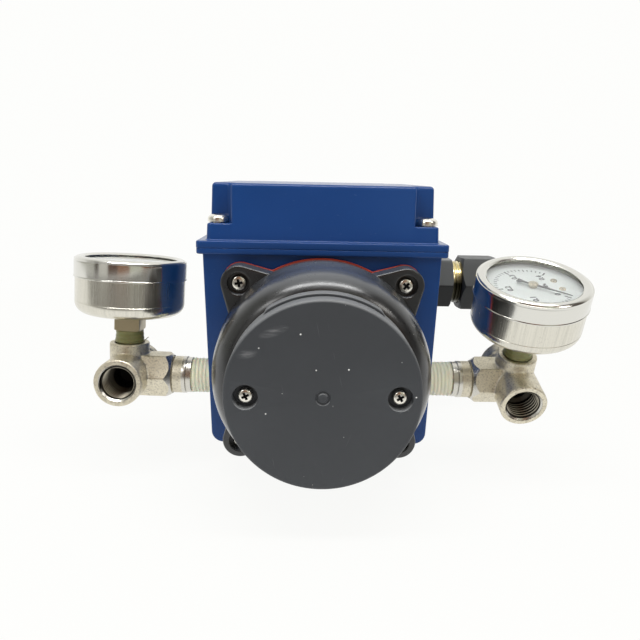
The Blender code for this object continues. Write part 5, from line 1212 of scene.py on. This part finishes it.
def dial_marks():
    z = DIAL_FACE
    shapes = []
    for k in range(41):
        inner, wide = ((11.6, 0.55) if k % 10 == 0 else (12.3, 0.32) if k % 5 == 0 else (12.8, 0.32))
        inner, outer, half = inner * MM, 14.0 * MM, wide * MM / 2
        tick = lofted([at_height([(inner, -half), (outer, -half), (outer, half), (inner, half)], h)
                       for h in (z, z + 0.04 * MM)])
        shapes.append(placed(tick, spin(POINTER_ZERO - DIAL_TURN * k / 40)))
    texts = [(text, 3.0, 9.2 * MM, POINTER_ZERO - DIAL_TURN * k / 4)
             for k, text in enumerate(("0", "0.1", "0.2", "0.3", "0.4"))]
    for text, size, radius, angle in texts + [("MPa", 2.1, 5.2 * MM, 10)]:
        place = on_dial(radius, angle, z + 0.02 * MM)
        shapes.append(placed(gauge_text(text, size * MM), place @ spin(100)))
    return joined(*shapes)


def dial_screw():
    """A small cheese-head screw that holds the dial."""
    head = turned(mm((0, -0.3), (1.25, -0.3), (1.25, 0.3), (1.05, 0.5), (0, 0.52)), 32)
    return carved(head, lofted([at_height(rectangle(1.6 * MM, 0.16 * MM, 0.02 * MM, 1), z)
                                for z in (0.28 * MM, 1 * MM)]))


def case_profile():
    outer, wall, hole, bend = CASE_RADIUS, 1 * MM, 5.3 * MM, 4.5 * MM
    low, high = CASE_LOW, 43.1 * MM
    turns = list(map(unit, range(-90, 1, 9)))
    centre = (outer - bend, low + bend)
    outside = [(centre[0] + bend * c, centre[1] + bend * s) for c, s in turns]
    inside = [(centre[0] + (bend - wall) * c, centre[1] + (bend - wall) * s) for c, s in reversed(turns)]
    sunk = outer - 0.08 * MM
    groove = [(outer, low + bend + 0.2 * MM), (sunk, low + bend + 0.3 * MM),
              (sunk, low + bend + 0.45 * MM), (outer, low + bend + 0.55 * MM)]
    return ([(hole, low)] + outside + groove + [(outer, high), (outer - wall, high)] + inside
            + [(hole, low + wall)])


def bezel_profile():
    inner, bead, wall, roll = CASE_RADIUS + 0.3 * MM, BEZEL_RADIUS, BEZEL_RADIUS - 0.22 * MM, 2.2 * MM
    low, opening, seat, high = 37.7 * MM, 17.05 * MM, 44.7 * MM, BEZEL_HIGH
    profile = [(inner, low), (bead - 0.2 * MM, low), (bead - 0.05 * MM, low + 0.1 * MM),
               (bead, low + 0.28 * MM), (bead - 0.06 * MM, low + 0.48 * MM), (wall, low + 0.68 * MM)]
    profile += arc((wall - roll, high - roll), roll, 0, 90, 10)
    return profile + [(18.2 * MM, high - 0.06 * MM), (17.6 * MM, high - 0.25 * MM),
                      (17.2 * MM, high - 0.6 * MM), (opening, 44.9 * MM), (opening, seat), (inner, seat)]


def make_gauge(name, matrix):
    gauge, pointer, seed = f"{name}_gauge_", f"{name}_pointer", 11 if name == "left" else 17
    piece(f"{name}_case_shell", turned(case_profile(), 160, True), matrix, "drawn", gauge + "case")
    piece(f"{name}_bezel_ring", turned(bezel_profile(), 160, True), matrix, "bezel", gauge + "bezel")
    rim = CASE_RADIUS - GAP
    window = [(0, 43.4 * MM), (rim - 0.1 * MM, 43.4 * MM), (rim, 43.5 * MM), (rim, 44.3 * MM),
              (rim - 0.1 * MM, 44.4 * MM), (0, 44.4 * MM)]
    piece(f"{name}_glass", turned(window, 128), matrix, "glass", gauge + "window")
    edge, hole = CASE_RADIUS - 1.3 * MM, 1.2 * MM
    dial = [(hole, 40.6 * MM), (edge, 40.6 * MM), (edge, 41.3 * MM), (edge - 0.1 * MM, DIAL_FACE),
            (hole, DIAL_FACE)]
    piece(f"{name}_dial_plate", turned(dial, 128, True), matrix, "dial", gauge + "dial")
    piece(f"{name}_dial_marks", dial_marks(), matrix, "ink")
    screws = [placed(dial_screw(), on_dial(10.6 * MM, angle, DIAL_FACE) @ Matrix.Rotation(angle, 4, "Z"))
              for angle in (-8, 28)]
    piece(f"{name}_dial_screws", joined(*screws), matrix, "hub")
    zero = matrix @ spin(POINTER_ZERO)
    side = mm((-6.0, 1.3), (-5.0, 1.15), (-3.8, 0.6), (-2.6, 0.42), (0, 0.7), (6, 0.45), (12, 0.24),
              (14.2, 0.06))
    outline = [(x, -y) for x, y in side] + side[::-1]
    needle = lofted([at_height(outline, z) for z in (42.35 * MM, 42.35 * MM + 0.25 * MM)])
    piece(f"{name}_needle", needle, zero, "needle", gauge + "pointer", body=pointer)
    hub = mm((0, 36.3), (0.9, 36.3), (0.9, 41.6), (1.45, 41.6), (1.45, 42.3), (1.8, 42.3), (1.8, 42.8),
             (1.6, 43.0), (0, 43.08))
    slot = lofted([at_height(each_corner(2 * MM, 0.2 * MM), z) for z in (42.8 * MM, 43.5 * MM)])
    piece(f"{name}_needle_hub", carved(turned(hub, 40), slot), zero, "hub", body=pointer)
    stem = mm((0, 6.3), (4.5, 6.3), (4.9, 7), (4.9, 17.6), (4.4, 17.6), (4.4, 23), (5, 23), (5, 27.2),
              (0, 27.2))
    body = mesh_object(f"{name}_stem_turned", turned(stem, 64))
    body.matrix_world = matrix
    low, high = STEM_SQUARE
    square = lofted([hex_ring(9.65 * MM, z, 0.3 * MM, 45, 4) for z in STEM_SQUARE])
    cone = turned([(0, low), (6.1 * MM, low), (6.9 * MM, low + 0.6 * MM), (6.9 * MM, high), (0, high)], 96)
    grow(body, carved(square, cone, operation="INTERSECT"))
    finish_piece(body, "stem", gauge + "stem", angle=32)
    tape = tape_skin((5.75 * MM, 5.35 * MM), 12.55 * MM, 17.35 * MM, 3, 0.05 * MM, seed)
    piece(f"{name}_stem_tape", tape, matrix, "olive_tape", angle=60)


def make_sides():
    for name, side, place, lean, tilt, gauge_tilt, seed in (
            ("left", -1, (-74.89 * MM, -33 * MM, 22.536 * MM), -3.6, 1.4, 1.7, 3),
            ("right", 1, (77.2 * MM, -33 * MM, 21.7 * MM), 17.8, 0.0, 0.0, 5)):
        matrix = at(*place) @ (spin(-side * tilt, "Y") @ spin(lean, "X"))
        toward = TO_LEFT if side > 0 else TO_RIGHT
        make_tee(name, toward, matrix)
        tape = tape_skin((6.95 * MM, 6.85 * MM), 25.25 * MM, 34.5 * MM, 6.5, 0.09 * MM, seed)
        piece(f"{name}_thread_tape", tape, matrix @ toward, "cream_tape", angle=60)
        make_gauge(name, matrix @ at(z=BOSS_HIGH) @ spin(gauge_tilt, "Y") @ at(z=-BOSS_HIGH))
        if side < 0:
            path = [Vector(point) * MM for point in (
                (5.0, -1.6, 13.3), (5.9, -1.9, 13.35), (6.6, -2.1, 13.8), (7.3, -2.3, 14.5),
                (7.9, -2.4, 15.0))]
            piece("left_tape_strand", swept(path, 0.13 * MM, 6), matrix, "olive_tape", angle=60)


# Cable gland

def chamfered_hex(across_flats, low, high, reach, ease):
    """A hexagon whose ends are turned to a cone."""
    corner = across_flats / 2 / math.cos(math.radians(30))
    drop, past = reach * 0.58, corner + 0.5 * MM
    slope = drop * (reach + 0.5 * MM) / reach
    profile = [(0, low), (corner - reach, low), (past, low + slope), (past, high - slope),
               (corner - reach, high), (0, high)]
    return carved(lofted([hex_ring(across_flats, z, ease) for z in (low, high)]), turned(profile, 96),
                  operation="INTERSECT")


def make_gland():
    seat = CONDUIT_END + GAP
    adaptor = mesh_object("gland_adaptor_hex", chamfered_hex(22 * MM, seat, ADAPTOR_END, 0.9 * MM,
                                                             0.5 * MM))
    adaptor.matrix_world = GLAND_AXIS
    grow(adaptor, cylinder(9.5 * MM, seat - 8 * MM, seat + 3 * MM, 64))
    cut(adaptor, cylinder(7 * MM, seat - 10 * MM, ADAPTOR_END + 2 * MM, 64))
    finish_piece(adaptor, "gland_dark", "gland_adaptor", angle=30)
    start, end = ADAPTOR_END + GAP, NUT_END - 5 * MM
    inner, outer, crest, root = 6.2 * MM, 6.7 * MM, 9.9 * MM, 9.1 * MM
    profile = [(inner, start - 5 * MM), (outer, start - 5 * MM), (outer, start), (crest, start)]
    z = start + 0.5 * MM
    while z < end - 2 * MM:
        profile += [(crest, z), (crest - 0.12 * MM, z + 0.12 * MM), (root, z + 0.55 * MM),
                    (root, z + 0.7 * MM), (crest - 0.12 * MM, z + 1.13 * MM), (crest, z + 1.25 * MM)]
        z += 1.5 * MM
    profile += [(crest, end - 1 * MM), (8.9 * MM, end), (inner, end)]
    piece("gland_threaded_body", turned(profile, 128, True), GLAND_AXIS, "gland_brass", "gland_body",
          angle=50)
    nut = mesh_object("gland_clamp_nut", chamfered_hex(24 * MM, NUT_START, NUT_END, 2.0 * MM, 0.7 * MM))
    nut.matrix_world = GLAND_AXIS
    cut(nut, cylinder(10.2 * MM, NUT_START - 2 * MM, end + GAP, 96))
    mouth, flare = 5.5 * MM, 6.3 * MM
    cut(nut, turned([(0, NUT_START), (mouth, NUT_START), (mouth, NUT_END - 0.8 * MM), (flare, NUT_END),
                     (flare, NUT_END + 2 * MM), (0, NUT_END + 2 * MM)], 96))
    finish_piece(nut, "gland_nut", "gland_nut", angle=30)
    inner, outer = 3.7 * MM, 5.9 * MM
    seal = [(inner, end - 8 * MM), (outer, end - 8 * MM), (outer, end - 0.6 * MM), (5.3 * MM, end),
            (4.3 * MM, end), (inner, end - 0.7 * MM)]
    piece("gland_seal_ring", turned(seal, 64, True), GLAND_AXIS, "rubber", "gland_seal")


# Springs, which reach from a moving part to one that stands still

def make_range_spring():
    """The tension spring between the lever's peg and the beam's peg, with a loop at each end."""
    low, high = map(Vector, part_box("range_spring"))
    middle = (low + high) / 2
    wire, coil_radius, loop, turns, per_turn = 0.38 * MM, 2.4 * MM, 1.8 * MM, 9, 20
    start = Vector((low.x + 2.2 * MM, middle.y, middle.z))
    end = Vector((high.x - 2.2 * MM, middle.y, middle.z))

    def looped(centre, first, last):
        return [centre + Vector((loop * c, loop * s, 0)) for c, s in map(unit, range(first, last, 20))]

    path = looped(start, 40, 361) + [start + Vector((loop + 1.5 * MM, 0, 0.6 * MM))]
    first, length = start.x + loop + 3 * MM, end.x - start.x - 2 * (loop + 3 * MM)
    for i in range(turns * per_turn + 1):
        angle = 2 * math.pi * i / per_turn
        path.append(Vector((first + length * i / (turns * per_turn),
                            middle.y + coil_radius * math.sin(angle),
                            middle.z + coil_radius * math.cos(angle))))
    path += [end + Vector((-loop - 1.5 * MM, 0, 0.6 * MM))] + looped(end, 180, 501)
    obj = piece("range_coil", swept(path, wire, 8), Matrix(), "steel", "range_spring", angle=60,
                body=None)
    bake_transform(obj)


def make_spool_spring():
    """The compression spring between the spool's plate and the cap, with closed ends."""
    low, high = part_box("spool_spring")
    wire, radius, turns, per_turn = 0.6 * MM, 6 * MM, 5, 28
    closed, rise = 0.8, 0.35 * MM
    first, last = BODY_FRONT - high[1] + wire, BODY_FRONT - low[1] - wire
    path = []
    for i in range(turns * per_turn + 1):
        turn = i / per_turn
        share = min(max((turn - closed) / (turns - 1.6), 0.0), 1.0)
        flat = rise * (min(turn, closed) - max(turn - turns + closed, 0.0) - 0.4) / 0.4
        z = first + rise + (last - first - 0.7 * MM) * share + flat * (1 if share in (0.0, 1.0) else 0)
        angle = 2 * math.pi * turn
        path.append(Vector((radius * math.cos(angle), radius * math.sin(angle), z)))
    obj = piece("spool_coil", swept(path, wire, 8), PILOT, "steel", "spool_spring", angle=60, body=None)
    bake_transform(obj)


# CAD parts that keep their own shape

KEPT = {
    "machined": "feedback_shaft pilot_sleeve pilot_spool cam_nut shaft_circlip",
    "steel": "follower_pivot_pin beam_pivot_pin follower_lever feedback_cam",
    "brass": "lower_shaft_bush upper_shaft_bush nozzle follower_roller earth_screw zero_knob "
             "span_knob auto_manual_screw left_gauge_movement right_gauge_movement",
    "rubber": "pilot_diaphragm cover_seal",
    "iron": "balance_beam torque_motor_yoke",
    "winding": "torque_motor_coil",
    "grey": "terminal_block",
}


def dress_nodes():
    chosen = {name: key for key, names in KEPT.items() for name in names.split()}
    for name, obj in NODES.items():
        obj.data.materials.clear()
        obj.data.materials.append(LOOKS[chosen.get(name, "steel")][0])


def make_looks():
    moulded = (0.007, 0.0075, 0.0085)
    cap_scuffs = ((-15, 20.6, 5.0, 1.6, 20), (-23, 13.6, 3.6, 1.5, 10))
    looks = {
        "paint": blue_enamel(),
        # Each moulding's tuple of two slopes and a colour is painted light on its upward-facing faces.
        "black": moulding("black_moulding", moulded, 0.3, 1.0, 0.5, (0.66, 1.0, (0.08, 0.086, 0.096)),
                          coat=0.7),
        "red": soft_sheet("red_silicone", (0.46, 0.05, 0.024), 0.5, 120, (0.34, 0.032, 0.016), 1500),
        "cap": moulding("cap_moulding", (0.044, 0.0475, 0.053), 0.46, 1.0, 0.4,
                        (0.2, 0.6, (0.17, 0.175, 0.18)), cap_scuffs),
        "rubber": soft_sheet("black_rubber", (0.016, 0.016, 0.017), 0.7, 150, (0.03, 0.03, 0.032), 2000),
        "cast": cast_steel(),
        "dark": dark_bore(),
        "machined": machined("machined_steel", (0.66, 0.64, 0.58), 0.27),
        "steel": polished_steel("screw_steel", (0.86, 0.83, 0.75), 0.22),
        "bezel": polished_steel("bezel_steel", (0.74, 0.73, 0.68), 0.15),
        "drawn": drawn_steel(),
        "cream_tape": thread_tape("cream_tape", (0.86, 0.83, 0.62), (0.66, 0.62, 0.43),
                                  (0.92, 0.90, 0.76)),
        "olive_tape": thread_tape("olive_tape", (0.22, 0.215, 0.075), (0.10, 0.095, 0.035),
                                  (0.36, 0.35, 0.15)),
        "stem": machined("stem_metal", (0.50, 0.43, 0.28), 0.33),
        # Painted shade: a darkened copy of machined steel for the tee's threaded port.
        "bore": machined("bore_metal", (0.07, 0.064, 0.052), 0.45),
        "thread": female_thread(),
        "brass": machined("brass", (0.68, 0.53, 0.26), 0.3),
        "gland_brass": brass_with_painted_shade(),
        "glass": clear_glass(),
        "dial": dial_enamel(),
        "ink": ink("dial_ink", (0.02, 0.02, 0.022)),
        "needle": ink("needle_paint", (0.03, 0.028, 0.026)),
        "hub": machined("hub_metal", (0.62, 0.55, 0.42), 0.25),
        "gland_dark": moulding("gland_moulding", moulded, 0.34, 0.3, 0.25,
                               (0.2, 0.6, (0.10, 0.104, 0.104))),
        "gland_nut": moulding("nut_moulding", (0.026, 0.027, 0.028), 0.4, 0.3, 0.25,
                              (0.2, 0.6, (0.075, 0.077, 0.076))),
        "iron": soft_iron(),
        "winding": winding(),
        "grey": moulding("grey_moulding", (0.28, 0.29, 0.30), 0.45, 0.0),
    }
    LOOKS.update({key: [look.material] for key, look in looks.items()})
    # The dark and bore materials paint shade into the screws' recesses and the tees' bores.
    LOOKS["screw"] = LOOKS["steel"] + LOOKS["dark"]
    LOOKS["tee"] = LOOKS["cast"] + LOOKS["machined"] + LOOKS["dark"] + LOOKS["bore"]


make_camera()
make_stage()
make_looks()
dress_nodes()
make_housing()
make_cover()
make_pilot()
make_cap()
make_sides()
make_gland()
make_range_spring()
make_spool_spring()
